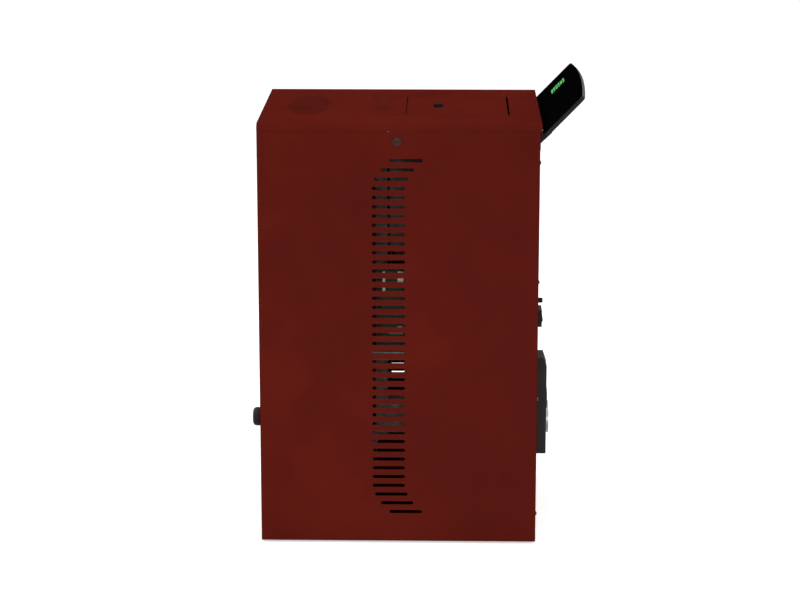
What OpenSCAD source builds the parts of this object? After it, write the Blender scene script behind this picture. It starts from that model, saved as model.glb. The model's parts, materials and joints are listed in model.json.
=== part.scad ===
// Pellet stove with a top hopper, fire door, ash drawer and tilted control panel.
// Millimetres. The front faces -Y, the rear +Y, and +Z is up from the floor.
// Pieces are drawn with y = 0 at the casing's front edge, then moved by place().

/* [Casing] */
// Width over the two side panels
body_w = 520; // [510:5:560]
// Depth of the side panels, front edge to rear edge
body_d = 645; // [640:5:700]
// Height of the top surface above the floor
body_h = 1000; // [990:5:1050]
// Gap between the floor and the casing's lower edge
floor_gap = 5; // [4.5:0.5:10]
// Thickness of the casing's sheet steel
sheet = 1.5; // [1.2:0.1:1.8]
// Thickness of the firebox and base steel
plate = 3; // [2.6:0.2:3.6]
// Gap between pieces that seat on or pass each other
clear = 0.3; // [0.25:0.05:0.5]
// Radial clearance of a shaft or pin in its bore
running = 0.05; // [0.03:0.01:0.08]
// Seam between neighbouring casing pieces
seam = 1; // [0.6:0.1:1.6]
// How far the front pieces sit behind the side panels' front edges
face_y = 2; // [1.8:0.1:3]
// Width of the side panels' inward flanges
flange_w = 20; // [18:1:22]
// Outside bend radius along the top cover's long edges
top_bend_r = 15; // [10:1:20]
// Depth of the top cover's skirt
top_skirt = 17; // [16:1:32]
// How far the top cover overhangs the rear
top_overhang = 4; // [2:0.5:5]
// Height of the plinth below the ash drawer
plinth_h = 77; // [70:1:80]
// Height of the base plate above the casing's lower edge
base_lift = 25; // [20:1:30]

/* [Side slots] */
// Number of vent slots in each side panel
slot_count = 40; // [30:1:40]
// Length of one vent slot
slot_l = 76; // [60:1:90]
// Height of one vent slot
slot_h = 8; // [5:0.5:10]
// Distance between slot centres
slot_pitch = 21.5; // [19:0.1:21.8]
// Distance from the panel's front edge to the slot column
slot_from_front = 262; // [240:1:280]
// Rise of the column's middle above the middle of the panel
slot_rise = 3; // [-5:1:6]
// Rearward shift of the first and last slot
slot_shift_end = 40; // [30:1:50]
// Rearward shift of the second slot from each end
slot_shift_second = 20; // [14:1:28]
// Rearward shift of the third slot from each end
slot_shift_third = 6; // [2:1:10]

/* [Panel locks] */
// Diameter of a side panel's lock head
lock_d = 22; // [18:1:26]
// Thickness of the lock head
lock_t = 3; // [2:0.5:4]
// Distance from the panel's front edge to the lock
lock_from_front = 320; // [300:1:340]
// Drop of the lock below the top surface
lock_drop = 41; // [40:1:48]
// Length of the lock's cam
lock_cam_l = 25; // [22:1:30]

/* [Top vents] */
// Distance from the front edge to the middle of the oval vent field
oval_from_front = 106; // [100:1:110]
// Width of the oval vent field
oval_w = 300; // [240:2:310]
// Front-to-back length of the oval vent field
oval_l = 100; // [80:1:110]
// Width of one slot of the oval field
oval_slot = 4.5; // [3:0.5:6]
// Distance from the front edge to the middle of the waisted vent field
waist_from_front = 281; // [275:1:285]
// Width of the waisted vent field
waist_w = 290; // [240:2:300]
// Slot length at the ends of the waisted field
waist_end_l = 72; // [60:1:80]
// Slot length at the waist
waist_mid_l = 33; // [20:1:40]
// Width of one slot of the waisted field
waist_slot = 3; // [2:0.5:5]
// Distance between the slots of both fields
vent_pitch = 9; // [8:0.5:12]

/* [Hopper and lid] */
// Width of the hopper lid
lid_w = 270; // [250:2:290]
// Front-to-back length of the hopper lid
lid_l = 236; // [226:2:240]
// Thickness of the lid's plate
lid_t = 2; // [1.5:0.1:2.5]
// Depth of the lid's rim below its plate's top
lid_rim = 10; // [8:0.5:11]
// Distance from the casing's rear edge to the lid
lid_from_rear = 71; // [68:1:80]
// Seam along the front and sides of the lid
lid_seam = 1.5; // [1:0.1:2.5]
// Wider seam along the lid's hinged edge
lid_hinge_seam = 4.5; // [4:0.1:6]
// Diameter of the lid's hinge pins
lid_pin_d = 6; // [5:0.5:7]
// Distance of the hinge pins from the centre line
lid_pin_x = 105; // [95:1:110]
// Width of the lid's finger slot
finger_w = 55; // [45:1:65]
// Front-to-back length of the finger slot
finger_l = 22; // [18:1:26]
// Depth of the finger cup below the top surface
finger_depth = 12; // [10:0.5:12]
// Distance from the lid's front edge to the middle of the finger slot
finger_from_lid = 74; // [60:1:90]
// Width of the hopper
hopper_w = 370; // [340:2:380]
// Depth of the hopper's top plate below the top surface
hopper_drop = 30; // [28:1:32]
// Height of the hopper's mouth collar
collar_h = 16; // [14:0.5:16]
// Height of the hopper's straight walls
hopper_straight = 270; // [200:5:280]
// Thickness of the hopper's galvanised sheet
hopper_t = 1.2; // [1:0.1:1.5]
// Height of the hopper's throat above the auger's lower end
throat_rise = 160; // [155:1:180]

/* [Fuel feed] */
// Height of the pellet chute's mouth above the firebox floor
chute_rise = 72; // [66:1:80]
// Distance of the auger's lower end from the casing's rear edge
auger_from_rear = 85; // [82:1:88]
// Tilt of the auger from the vertical
auger_tilt = 45; // [44:0.5:46]
// Inside diameter of the auger tube
auger_bore = 60; // [56:1:62]
// Wall of the auger tube
auger_wall = 3; // [2:0.5:3.5]
// Diameter of the auger's shaft
auger_shaft_d = 14; // [12:1:16]
// Gap between the auger's flight and the tube
auger_gap = 3; // [2:0.5:5]
// Pitch of the auger's flight
auger_pitch = 45; // [40:1:60]
// Width of the pellet chute inside
chute_w = 42; // [36:1:44]
// Width of the gearmotor's gearbox
gearbox_w = 66; // [60:1:70]
// Length of the gearbox along the auger
gearbox_l = 34; // [30:1:36]
// Diameter of the feed motor
feed_motor_d = 52; // [44:1:54]
// Length of the feed motor
feed_motor_l = 44; // [36:1:46]

/* [Firebox] */
// Outside width of the firebox
fire_w = 360; // [350:2:364]
// Outside depth of the firebox
fire_d = 232; // [228:1:236]
// Distance of the firebox crown below the top surface
crown_drop = 100; // [96:1:106]
// Height of the firebox floor above the door's lower edge
fire_floor_rise = 10; // [8:1:14]
// Thickness of the side liners
liner_t = 10; // [8:0.5:12]
// Thickness of the rear liner
rear_liner_t = 12.7; // [11:0.1:13.5]
// Thickness of the baffle plate
baffle_t = 10; // [8:0.5:12]
// Height of the baffle above the firebox floor
baffle_rise = 434; // [425:1:436]
// Depth of the duct space behind the firebox
duct_d = 28; // [26:0.5:29]
// Diameter of the heat exchanger tubes
tube_d = 34; // [30:1:36]
// Wall of the heat exchanger tubes
tube_t = 2; // [1.5:0.1:2.5]
// Number of heat exchanger tubes
tube_count = 7; // [5:1:7]
// Distance between the tubes
tube_pitch = 46; // [42:1:47]
// Drop of the tubes below the top surface
tube_drop = 138; // [134:1:140]
// Width of the brazier
brazier_w = 120; // [100:2:124]
// Front-to-back length of the brazier
brazier_l = 100; // [90:1:104]
// Height of the brazier above the firebox floor
brazier_up = 32; // [28:1:34]
// Depth of the brazier below the firebox floor
brazier_down = 44; // [40:1:46]
// Wall of the brazier
brazier_t = 5; // [4:0.5:6]
// Height of the air box below the firebox floor
airbox_h = 58; // [56:1:60]
// Diameter of the air intake pipe
intake_d = 50; // [46:1:52]
// How far the intake pipe stands out of the rear
intake_out = 30; // [24:1:34]
// Distance of the intake pipe from the centre line
intake_x = 75; // [72:1:78]

/* [Fire door] */
// Height of the fire door
door_h = 468; // [460:1:470]
// Thickness of the door frame
door_t = 24; // [22:0.5:26]
// Width of the door's stiles and rails
stile_w = 60; // [56:1:60]
// Gap above and below the door, where its hinge plates sit
hinge_gap = 8; // [7.5:0.5:10]
// Thickness of the hinge plates
hinge_plate_t = 5; // [4:0.5:5]
// Diameter of the door's hinge pins
door_pin_d = 8; // [7:0.5:9]
// Distance of the hinge pins from the door's edge
door_pin_in = 9; // [8.5:0.5:10]
// Distance of the hinge pins behind the door's face
door_pin_back = 7; // [6.5:0.5:8]
// Depth of the pin holes in the door
door_pin_l = 22; // [18:1:26]
// Thickness of the ceramic glass
glass_t = 4; // [4:0.5:5]
// How far the glass reaches behind the frame
glass_lap = 10; // [8:0.5:10]
// Thickness of the squeezed door gasket
gasket_t = 10; // [9:0.5:11]
// Width of the door gasket
gasket_w = 12; // [10:0.5:12]
// Distance of the handle's spindle from the door's edge
spindle_in = 24; // [22:0.5:24]
// Diameter of the handle's spindle
spindle_d = 10; // [8:0.5:11]
// Length of the handle's grip
grip_l = 100; // [80:2:130]
// Diameter of the handle's grip
grip_d = 16; // [14.5:0.5:20]
// How far the grip's axis stands in front of the door's face
grip_out = 26; // [24:1:40]
// Length of the latch tongue
tongue_l = 36; // [34:0.5:37]

/* [Ash drawer] */
// Height of the drawer front
drawer_h = 235; // [228:1:240]
// Depth of the drawer front's rim
drawer_rim = 20; // [16:1:24]
// Width of the ash pan
pan_w = 370; // [340:2:376]
// Height of the ash pan
pan_h = 140; // [110:2:140]
// Thickness of the ash pan's sheet
pan_t = 1.5; // [1.2:0.1:2]
// Front-to-back length of the ash pan
pan_l = 258; // [230:2:260]
// Height of the drawer runners above the floor
runner_z = 122; // [118:1:124]
// Diameter of the drawer knob
knob_d = 46; // [44:1:56]
// Height of the drawer knob above the middle of the drawer front
knob_rise = 30; // [0:1:40]
// How far the knob stands out of the casing's front edge
knob_out = 38; // [32:1:44]

/* [Fans and flue] */
// Outside diameter of the flue spigot
flue_d = 80; // [76:1:80]
// Wall of the flue spigot
flue_t = 2; // [1.5:0.1:2.5]
// How far the flue spigot stands out of the rear
flue_out = 42; // [38:1:46]
// Height of the flue spigot's axis above the floor
flue_z = 200; // [196:1:204]
// Inside radius of the flue fan's scroll
flue_fan_r = 70; // [68:0.5:72]
// Distance of the flue fan's axis from the casing's rear edge
flue_fan_from_rear = 175; // [170:1:180]
// Wall of the fan housings
fan_wall = 2; // [1.5:0.1:2.5]
// Distance of the flue fan housing from the centre line
flue_fan_x = 76; // [74:1:80]
// Inside radius of the room fan's scroll
room_fan_r = 72; // [68:0.5:74]
// Height of the room fan's axis above the floor
room_fan_z = 250; // [246:1:254]
// Distance of the room fan's axis from the casing's rear edge
room_fan_from_rear = 175; // [170:1:180]
// Distance of the room fan housing from the centre line
room_fan_x = 118; // [116:1:122]
// Width of the room fan housing
room_fan_w = 84; // [76:1:88]
// Diameter of the fan motor shafts
fan_shaft_d = 8; // [6:0.5:9]
// Diameter of the flue fan's motor
flue_motor_d = 72; // [60:1:76]
// Length of the flue fan's motor
flue_motor_l = 48; // [42:1:52]
// Diameter of the flue fan's inlet
fan_inlet_d = 60; // [50:1:66]
// Length of the flue fan's outlet behind its axis
fan_outlet_l = 120; // [110:1:124]
// Distance of the vertical ducts from the centre line
duct_x = 125; // [118:1:128]
// Width of the vertical ducts
duct_w = 70; // [60:1:74]

/* [Electrical] */
// Width of the control panel
panel_w = 508; // [480:2:510]
// Length of the control panel up its slope
panel_l = 134; // [120:1:140]
// Thickness of the control panel
panel_t = 13; // [9:0.5:14]
// Tilt of the control panel from the horizontal
panel_tilt = 46; // [44:0.5:47]
// Drop of the panel's lower edge below the top surface
panel_drop = 21; // [20:0.5:22]
// Distance of the panel's lower edge behind the casing's rear edge
panel_behind = 6; // [5.5:0.5:8]
// Bulge of the panel's free edge
panel_bulge = 12; // [6:1:16]
// Corner radius of the panel's free edge
panel_corner_r = 14; // [8:1:18]
// Thickness of the panel's glass
panel_glass_t = 3; // [2:0.5:4]
// Width of one foot of the panel's bracket
bracket_w = 24; // [20:1:30]
// Thickness of the bracket's feet
bracket_t = 3; // [2:0.5:4]
// How far the bracket's feet reach down the rear panel
bracket_drop = 34; // [28:1:40]
// How far the bracket lies under the panel's slope
bracket_reach = 14; // [12:1:20]
// Width of the display window
display_w = 80; // [70:1:90]
// Height of the display window
display_h = 46; // [40:1:50]
// Distance of the display's middle from the centre line, towards the user's left
display_x = 125; // [110:1:140]
// Distance of the display's middle above the panel's lower edge
display_v = 69; // [60:1:74]
// Width of the rear cover
cover_w = 72; // [60:1:78]
// Height of the rear cover
cover_h = 234; // [225:1:256]
// How far the rear cover stands out of the casing's rear edge
cover_out = 24; // [23:0.5:32]
// Height of the bevel along the rear cover's top
cover_bevel = 15; // [4:1:18]
// Height of the rear cover's lower edge above the floor
cover_z = 203; // [198:1:208]
// Distance of the rear cover from the centre line
cover_x = 128; // [126:1:134]
// Width of the mains module
mains_w = 56; // [52:1:58]
// Height of the mains module
mains_h = 40; // [38:1:44]
// How far the mains module stands out of the casing's rear edge
mains_out = 10; // [8:0.5:12]
// Height of the mains module's middle above the floor
mains_z = 537; // [530:1:542]
// Distance of the mains module from the centre line
mains_x = 168; // [164:1:172]
// Height of the thermostat's cap above the floor
cap_z = 576; // [572:1:584]
// Distance of the thermostat's cap from the centre line
cap_x = 200; // [196:1:206]
// Diameter of the thermostat's cap
cap_d = 12; // [11:0.5:14]
// How far the cap stands out of the casing's rear edge
cap_out = 12; // [10:0.5:13]
// Length of the control board, front to back
board_l = 136; // [120:2:140]
// Height of the control board
board_h = 200; // [190:2:204]
// Thickness of the control board
board_t = 1.6; // [1.2:0.2:2]
// Height of the tallest parts above the control board
relay_h = 9; // [7:0.5:9]
// Distance from the front edge to the control board
board_from_front = 284; // [280:1:288]
// Height of the lower side rails above the floor
rail_z = 445; // [440:1:450]

/* [Feet] */
// Diameter of a foot's pad
foot_d = 50; // [40:1:56]
// Thickness of a foot's pad
pad_t = 4; // [3:0.5:4]
// Diameter of a foot's stem
stem_d = 10; // [8:0.5:12]
// Distance of the feet from the side panels' faces
foot_in = 45; // [40:1:50]
// Distance of the front feet from the front edge
foot_from_front = 80; // [70:1:90]
// Distance of the rear feet from the rear edge
foot_from_rear = 88; // [80:1:95]

/* [Hidden] */
$fn = 48;
// Overcut that keeps a cut from ending on a face
over = 1;

half_w = body_w / 2;
in_x = half_w - sheet;
core_x = in_x - clear;
front_x = half_w - flange_w - face_y;
plinth_z1 = floor_gap + plinth_h;
drawer_z0 = plinth_z1 + seam;
drawer_z1 = drawer_z0 + drawer_h;
door_z0 = drawer_z1 + hinge_gap;
door_z1 = door_z0 + door_h;
fascia_z0 = door_z1 + hinge_gap;
panel_z1 = body_h - top_skirt - seam;
top_under = body_h - sheet;
rear_y1 = body_d - sheet - clear;
rear_y0 = rear_y1 - sheet;
core_y1 = rear_y0 - clear;
base_z0 = floor_gap + base_lift;
base_z1 = base_z0 + plate;

door_back = face_y + door_t;
fire_y0 = door_back + gasket_t + clear;
fire_y1 = fire_y0 + fire_d;
fire_x = fire_w / 2;
fire_floor = door_z0 + fire_floor_rise;
fire_top = body_h - crown_drop;
duct_y0 = fire_y1 + clear;
duct_y1 = duct_y0 + duct_d;
post_w = 25;
post_t = 2;
post_y0 = fire_y0 + plate + clear;
rail_x = core_x - post_t - clear;
rail_h = 20;

lid_y1 = body_d - lid_from_rear;
lid_y0 = lid_y1 - lid_l;
lid_pin_y = lid_y1 - 8;
lid_pin_z = body_h - 9;
lug_r = 6;
lug_w = 10;
mouth_x = lid_w / 2 - 10;
mouth_y0 = lid_y0 + 12;
mouth_y1 = lid_pin_y - 10;
hopper_x = hopper_w / 2;
hopper_y0 = duct_y1 + 4;
hopper_y1 = lid_y1 - 6;
hopper_top = body_h - hopper_drop;
funnel_z1 = hopper_top - hopper_straight;
collar_top = hopper_top + collar_h;

auger_y = body_d - auger_from_rear;
auger_r = auger_bore / 2 + auger_wall;
auger_l = (auger_y - duct_y1 - auger_r * sin(auger_tilt) - 4) / sin(auger_tilt);
throat_y = auger_y - 55;
throat_x = auger_r + 4;
throat_l = 42;
chute_at = auger_l - 40;
chute_out = chute_w / 2 + 2;
liner_y1 = fire_y1 - plate - clear;
liner_y0 = liner_y1 - rear_liner_t;
// The chute leaves the auger square to it and meets the rear liner at the chute's mouth
auger_low_z = fire_floor + chute_rise - chute_at * cos(auger_tilt)
    + (auger_y - chute_at * sin(auger_tilt) - liner_y0) * tan(auger_tilt);
throat_z = auger_low_z + throat_rise;
tube_z = body_h - tube_drop;
plenum_h = 57;
plenum_z0 = tube_z - plenum_h / 2;
tube_span = (tube_count - 1) * tube_pitch / 2;
plenum_x = tube_span + tube_d / 2 + 10;
smoke_z1 = plenum_z0 - 3;
smoke_slot_h = 21;
smoke_slot_z = smoke_z1 - 5 - smoke_slot_h;
baffle_z = fire_floor + baffle_rise;

brazier_y0 = liner_y0 - 10 - brazier_l;
brazier_y1 = brazier_y0 + brazier_l;
brazier_rim = 8;
airbox_z1 = fire_floor - plate - clear;
airbox_z0 = airbox_z1 - airbox_h;
airbox_y0 = brazier_y0 - 14;
airbox_y1 = brazier_y1 + 20;
airbox_x0 = -brazier_w / 2 - 20;
airbox_x1 = intake_x + intake_d / 2 + 5;
intake_z = (airbox_z0 + airbox_z1) / 2;

pin_x = front_x - door_pin_in;
pin_y = face_y + door_pin_back;
window_x = front_x - stile_w;
window_z0 = door_z0 + stile_w;
window_z1 = door_z1 - stile_w;
glass_y = door_back - glass_lap;
gasket_x = window_x + glass_lap + 4;
gasket_in = glass_lap + 4;
spindle_x = -(front_x - spindle_in);
spindle_z = (door_z0 + door_z1) / 2;
tongue_y0 = door_back + 2.6;
tongue_t = 5;
tongue_w = 14;

pan_y0 = face_y + sheet + clear;
pan_z0 = runner_z + clear;
knob_z = (drawer_z0 + drawer_z1) / 2 + knob_rise;

flue_fan_y = body_d - flue_fan_from_rear;
flue_fan_z = flue_z + flue_fan_r - flue_d / 2;
flue_fan_w = flue_d + 2 * fan_wall;
flue_fan_x1 = -flue_fan_x;
flue_fan_x0 = flue_fan_x1 - flue_fan_w;
flue_x = (flue_fan_x0 + flue_fan_x1) / 2;
flue_fan_y1 = flue_fan_y + fan_outlet_l;
room_fan_y = body_d - room_fan_from_rear;
room_fan_x1 = room_fan_x + room_fan_w;
room_out_h = 68;
room_out_z1 = room_fan_z + room_fan_r;
room_out_z0 = room_out_z1 - room_out_h;

panel_y = body_d + panel_behind;
panel_z = body_h - panel_drop;
tip_y = panel_y + panel_l * cos(panel_tilt) + panel_t * sin(panel_tilt);
front_reach = min(-knob_out, face_y - grip_out - grip_d / 2);
mid_y = (tip_y + front_reach) / 2;

board_x = rail_x - post_t - 15;
board_y1 = board_from_front + board_l;
board_z0 = rail_z + rail_h / 2;
board_plate_x = board_x - 7;

lock_z = body_h - lock_drop;
upper_rail_z1 = lock_z - 15;
screw_pitch = 279.5;
screw_z0 = 72;
screw_x = half_w - flange_w / 2;

RED = "#5b1a15";
STEEL = "#3a3a3c";
ZINC = "#9a9da0";
IRON = "#2b2b2d";
BLACK = "#161618";

module place() translate([0, -mid_y, 0]) children();

module block(lo, hi) translate(lo) cube([hi[0] - lo[0], hi[1] - lo[1], hi[2] - lo[2]]);

module rod_x(x0, x1, y, z, r) translate([x0, y, z]) rotate([0, 90, 0]) cylinder(r = r, h = x1 - x0);

module rod_y(x, y0, y1, z, r) translate([x, y0, z]) rotate([-90, 0, 0]) cylinder(r = r, h = y1 - y0);

module rod_z(x, y, z0, z1, r) translate([x, y, z0]) cylinder(r = r, h = z1 - z0);

module both_sides() {
    children();
    mirror([1, 0, 0]) children();
}

// Slot with round ends, lying along the first axis and centred on the origin
module slot_2d(length, width) {
    square([length - width, width], center = true);
    for (side = [-1, 1]) translate([side * (length - width) / 2, 0]) circle(d = width, $fn = 24);
}

// Four-sided tapering solid between a lower and an upper rectangle
module taper(lower, upper) {
    points = [
        [lower[0], lower[2], lower[4]], [lower[1], lower[2], lower[4]],
        [lower[1], lower[3], lower[4]], [lower[0], lower[3], lower[4]],
        [upper[0], upper[2], upper[4]], [upper[1], upper[2], upper[4]],
        [upper[1], upper[3], upper[4]], [upper[0], upper[3], upper[4]]];
    faces = [[0, 1, 2, 3], [4, 7, 6, 5], [0, 4, 5, 1], [1, 5, 6, 2], [2, 6, 7, 3], [3, 7, 4, 0]];
    polyhedron(points, faces);
}

// Places shapes drawn along the auger: local z runs up the auger, local y up and rearwards
module on_auger() translate([0, auger_y, auger_low_z]) rotate([auger_tilt, 0, 0]) children();

// The pellet chute's outline, square to the auger, grown by a margin
module chute_solid(half, reach) {
    on_auger() translate([-half, -reach, chute_at - half]) cube([2 * half, reach, 2 * half]);
}

// Places shapes drawn on the control panel: local y runs up its slope, local z out of its face
module on_panel() translate([0, panel_y, panel_z]) rotate([panel_tilt, 0, 0]) children();

module tube_positions()
    for (i = [0 : tube_count - 1])
        translate([i * tube_pitch - tube_span, 0, 0]) children();

module foot_positions() {
    for (side = [-1, 1])
        for (y = [foot_from_front, body_d - foot_from_rear])
            translate([side * (half_w - foot_in), y, 0]) children();
}

module screw_positions() {
    for (side = [-1, 1])
        for (z = [screw_z0 : screw_pitch : panel_z1 - 20])
            translate([side * screw_x, 0, z]) children();
}

module base_tray() color(RED) place() difference() {
    union() {
        block([-core_x, face_y, base_z0], [core_x, core_y1, base_z1]);
        block([-front_x, face_y, floor_gap], [front_x, face_y + sheet, plinth_z1]);
        foot_positions() rod_z(0, 0, base_z0 - 10, base_z1 + 14, stem_d / 2 + 4);
    }
    foot_positions() rod_z(0, 0, base_z0 - 10 - over, base_z1 + 14 + over, stem_d / 2 + running);
}

module corner_post() {
    block([core_x - post_t, 0, base_z1 + clear], [core_x, post_w, panel_z1 - 4]);
    block([core_x - post_w, 0, base_z1 + clear], [core_x, post_t, panel_z1 - 4]);
}

module side_rail(z0) {
    block([rail_x - post_t, post_y0 + post_t + clear, z0], [rail_x, core_y1 - post_t - clear, z0 + rail_h]);
}

module drawer_runner() {
    web_x = pan_w / 2 + 10;
    runner_y1 = pan_y0 + pan_l;
    block([web_x, post_y0 + 5, base_z1 + clear], [web_x + post_t, runner_y1, runner_z + 40]);
    block([web_x - 36, post_y0 + 5, runner_z - post_t], [web_x + post_t, runner_y1, runner_z]);
}

// Plate that carries the control board, with a flange to the lower side rail
module board_plate() {
    corner = [board_plate_x, board_from_front - 4, board_z0 - 3];
    block(corner, [board_plate_x + sheet, board_y1 + 4, board_z0 + board_h + 4]);
    block(corner, [rail_x - post_t + over, board_y1 + 4, board_z0 - 3 + sheet]);
}

module frame() color(ZINC) place() difference() {
    both_sides() {
        translate([0, post_y0, 0]) corner_post();
        translate([0, core_y1, 0]) mirror([0, 1, 0]) corner_post();
        side_rail(rail_z);
        side_rail(upper_rail_z1 - rail_h);
        drawer_runner();
    }
    board_plate();
    screw_positions() rod_y(0, core_y1 - post_t - over, core_y1 + over, 0, 2 + clear);
}

module side_slots() {
    panel_mid = (floor_gap + panel_z1) / 2 + slot_rise;
    for (i = [0 : slot_count - 1]) {
        from_end = min(i, slot_count - 1 - i);
        shift = from_end == 0 ? slot_shift_end : from_end == 1 ? slot_shift_second
            : from_end == 2 ? slot_shift_third : 0;
        z = panel_mid + (i - (slot_count - 1) / 2) * slot_pitch;
        translate([in_x - over, slot_from_front + slot_l / 2 + shift, z])
            rotate([90, 0, 90]) linear_extrude(sheet + 2 * over) slot_2d(slot_l, slot_h);
    }
}

module side_panel() difference() {
    union() {
        block([in_x, 0, floor_gap], [half_w, body_d, panel_z1]);
        block([half_w - flange_w, 0, floor_gap], [half_w, sheet, panel_z1]);
        block([half_w - flange_w, body_d - sheet, floor_gap], [half_w, body_d, panel_z1]);
    }
    side_slots();
    rod_x(in_x - over, half_w + over, lock_from_front, lock_z, lock_d / 2 - 3 + running);
    screw_positions() rod_y(0, body_d - sheet - over, body_d + over, 0, 2 + clear);
}

module right_side_panel() color(RED) place() side_panel();

module left_side_panel() color(RED) place() mirror([1, 0, 0]) side_panel();

module rear_vents() {
    for (column = [-1 : 1])
        for (row = [0 : 7])
            translate([column * 110, rear_y1 + over, body_h - 260 + row * 18])
                rotate([90, 0, 0]) linear_extrude(sheet + 2 * over) slot_2d(80, 6);
}

module rear_panel() color(RED) place() difference() {
    block([-core_x, rear_y0, floor_gap], [core_x, rear_y1, panel_z1]);
    rear_vents();
    rod_y(flue_x, rear_y0 - over, rear_y1 + over, flue_z, flue_d / 2 + clear);
    rod_y(intake_x, rear_y0 - over, rear_y1 + over, intake_z, intake_d / 2 + clear);
    rod_y(cap_x, rear_y0 - over, rear_y1 + over, cap_z, cap_d / 2 - 1 + clear);
    block([mains_x + 4 - clear, rear_y0 - over, mains_z - mains_h / 2 + 4 - clear],
        [mains_x + mains_w - 4 + clear, rear_y1 + over, mains_z + mains_h / 2 - 4 + clear]);
    screw_positions() rod_y(0, rear_y0 - over, rear_y1 + over, 0, 2 + clear);
}

module front_fascia() color(RED) place() {
    block([-front_x, face_y, fascia_z0], [front_x, face_y + sheet, panel_z1]);
    both_sides() block([front_x - sheet, face_y, fascia_z0], [front_x, fire_y0 - clear, panel_z1]);
}

module roof_profile(hx, z0, z1, r) intersection() {
    translate([-hx, z0]) square([2 * hx, z1 - z0]);
    union() {
        translate([-hx, z0 - over]) square([2 * hx, z1 - r - z0 + over]);
        translate([-(hx - r), z0 - over]) square([2 * (hx - r), z1 - z0 + over]);
        for (side = [-1, 1]) translate([side * (hx - r), z1 - r]) circle(r);
    }
}

module roof_run(y0, y1) translate([0, y1, 0]) rotate([90, 0, 0]) linear_extrude(y1 - y0) children();

module vent_slot(x, y, length, width) {
    translate([x, y, top_under - over]) rotate([0, 0, 90])
        linear_extrude(sheet + 2 * over) slot_2d(length, width);
}

module top_vents() {
    oval_half = floor((oval_w / 2 - vent_pitch) / vent_pitch);
    for (i = [-oval_half : oval_half])
        vent_slot(i * vent_pitch, oval_from_front,
            oval_l * sqrt(1 - pow(2 * i * vent_pitch / oval_w, 2)), oval_slot);
    waist_half = floor(waist_w / 2 / vent_pitch);
    for (i = [-waist_half : waist_half])
        vent_slot(i * vent_pitch, waist_from_front,
            waist_mid_l + (waist_end_l - waist_mid_l) * pow(i / waist_half, 2), waist_slot);
}

module top_cover() color(RED) place() difference() {
    roof_run(0, body_d + top_overhang)
        roof_profile(half_w, body_h - top_skirt, body_h, top_bend_r);
    roof_run(sheet, body_d + top_overhang - sheet)
        roof_profile(in_x, body_h - top_skirt - over, top_under, top_bend_r - sheet);
    block([-lid_w / 2 - lid_seam, lid_y0 - lid_seam, top_under - over],
        [lid_w / 2 + lid_seam, lid_y1 + lid_hinge_seam, body_h + over]);
    top_vents();
}

module cover_profile(out, up, inset) {
    y0 = rear_y1 + clear - (inset > 0 ? over : 0);
    y1 = body_d + out - inset;
    low = inset;
    high = up - inset;
    polygon([[y0, low], [y1, low], [y1, up * 0.45], [y1 - 2, up * 0.5], [y1 - 2, high - cover_bevel],
        [y1 - 7, high], [y0, high]]);
}

module rear_cover() color(BLACK) place() difference() {
    translate([cover_x, 0, cover_z]) rotate([90, 0, 90])
        linear_extrude(cover_w) cover_profile(cover_out, cover_h, 0);
    translate([cover_x + 2, 0, cover_z]) rotate([90, 0, 90])
        linear_extrude(cover_w - 4) cover_profile(cover_out, cover_h, 2);
}

module rear_screws() color(STEEL) place() screw_positions() {
    rod_y(0, body_d + clear, body_d + clear + 2.4, 0, 4.5);
    rod_y(0, core_y1 - post_t + 0.2, body_d + clear + 1, 0, 2);
}

module hopper_shell(t) {
    side = hopper_x - t;
    y0 = hopper_y0 + t;
    y1 = hopper_y1 - t;
    neck = throat_x - t;
    block([-side, y0, funnel_z1 - 0.01], [side, y1, hopper_top - t]);
    taper([-neck, neck, throat_y - throat_l + t, throat_y + throat_l - t, throat_z],
        [-side, side, y0, y1, funnel_z1]);
}

module hopper() color(ZINC) place() difference() {
    union() {
        hopper_shell(0);
        block([-mouth_x, mouth_y0, hopper_top - over], [mouth_x, mouth_y1, collar_top]);
    }
    hopper_shell(hopper_t);
    block([-throat_x + hopper_t, throat_y - throat_l + hopper_t, throat_z - over],
        [throat_x - hopper_t, throat_y + throat_l - hopper_t, throat_z + over]);
    block([-mouth_x + hopper_t, mouth_y0 + hopper_t, hopper_top - 2 * over],
        [mouth_x - hopper_t, mouth_y1 - hopper_t, collar_top + over]);
}

// Share of the way up the funnel at which the guard grid lies
guard_share = 0.25;

module hopper_guard() color(STEEL) place() {
    z = throat_z + guard_share * (funnel_z1 - throat_z);
    half = throat_x + guard_share * (hopper_x - throat_x) - hopper_t - 2;
    y0 = throat_y - throat_l + guard_share * (hopper_y0 - throat_y + throat_l) + hopper_t + 2.2;
    y1 = throat_y + throat_l + guard_share * (hopper_y1 - throat_y - throat_l) - hopper_t - 0.6;
    for (i = [-3 : 3]) rod_y(i * 19, y0, y1, z, 2);
    for (share = [0.25, 0.75])
        block([-half, y0 + share * (y1 - y0) - 3, z + 1], [half, y0 + share * (y1 - y0) + 3, z + 3]);
}

module hinge_ear(x) {
    block([x, lid_pin_y - lug_r, hopper_top + clear], [x + 3, lid_pin_y + lug_r, lid_pin_z]);
    rod_x(x, x + 3, lid_pin_y, lid_pin_z, lug_r);
}

module lid_hinges() color(STEEL) place() both_sides() {
    ear_in = lid_pin_x - lug_w / 2 - clear - 3;
    ear_out = lid_pin_x + lug_w / 2 + clear;
    difference() {
        union() {
            hinge_ear(ear_in);
            hinge_ear(ear_out);
            block([ear_in, lid_pin_y - lug_r, hopper_top + clear],
                [ear_out + 3, lid_pin_y + lug_r, hopper_top + clear + 2]);
        }
        rod_x(ear_in - over, ear_out + 3 + over, lid_pin_y, lid_pin_z, lid_pin_d / 2 + running);
    }
    rod_x(ear_in - 1, ear_out + 4, lid_pin_y, lid_pin_z, lid_pin_d / 2);
}

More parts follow.
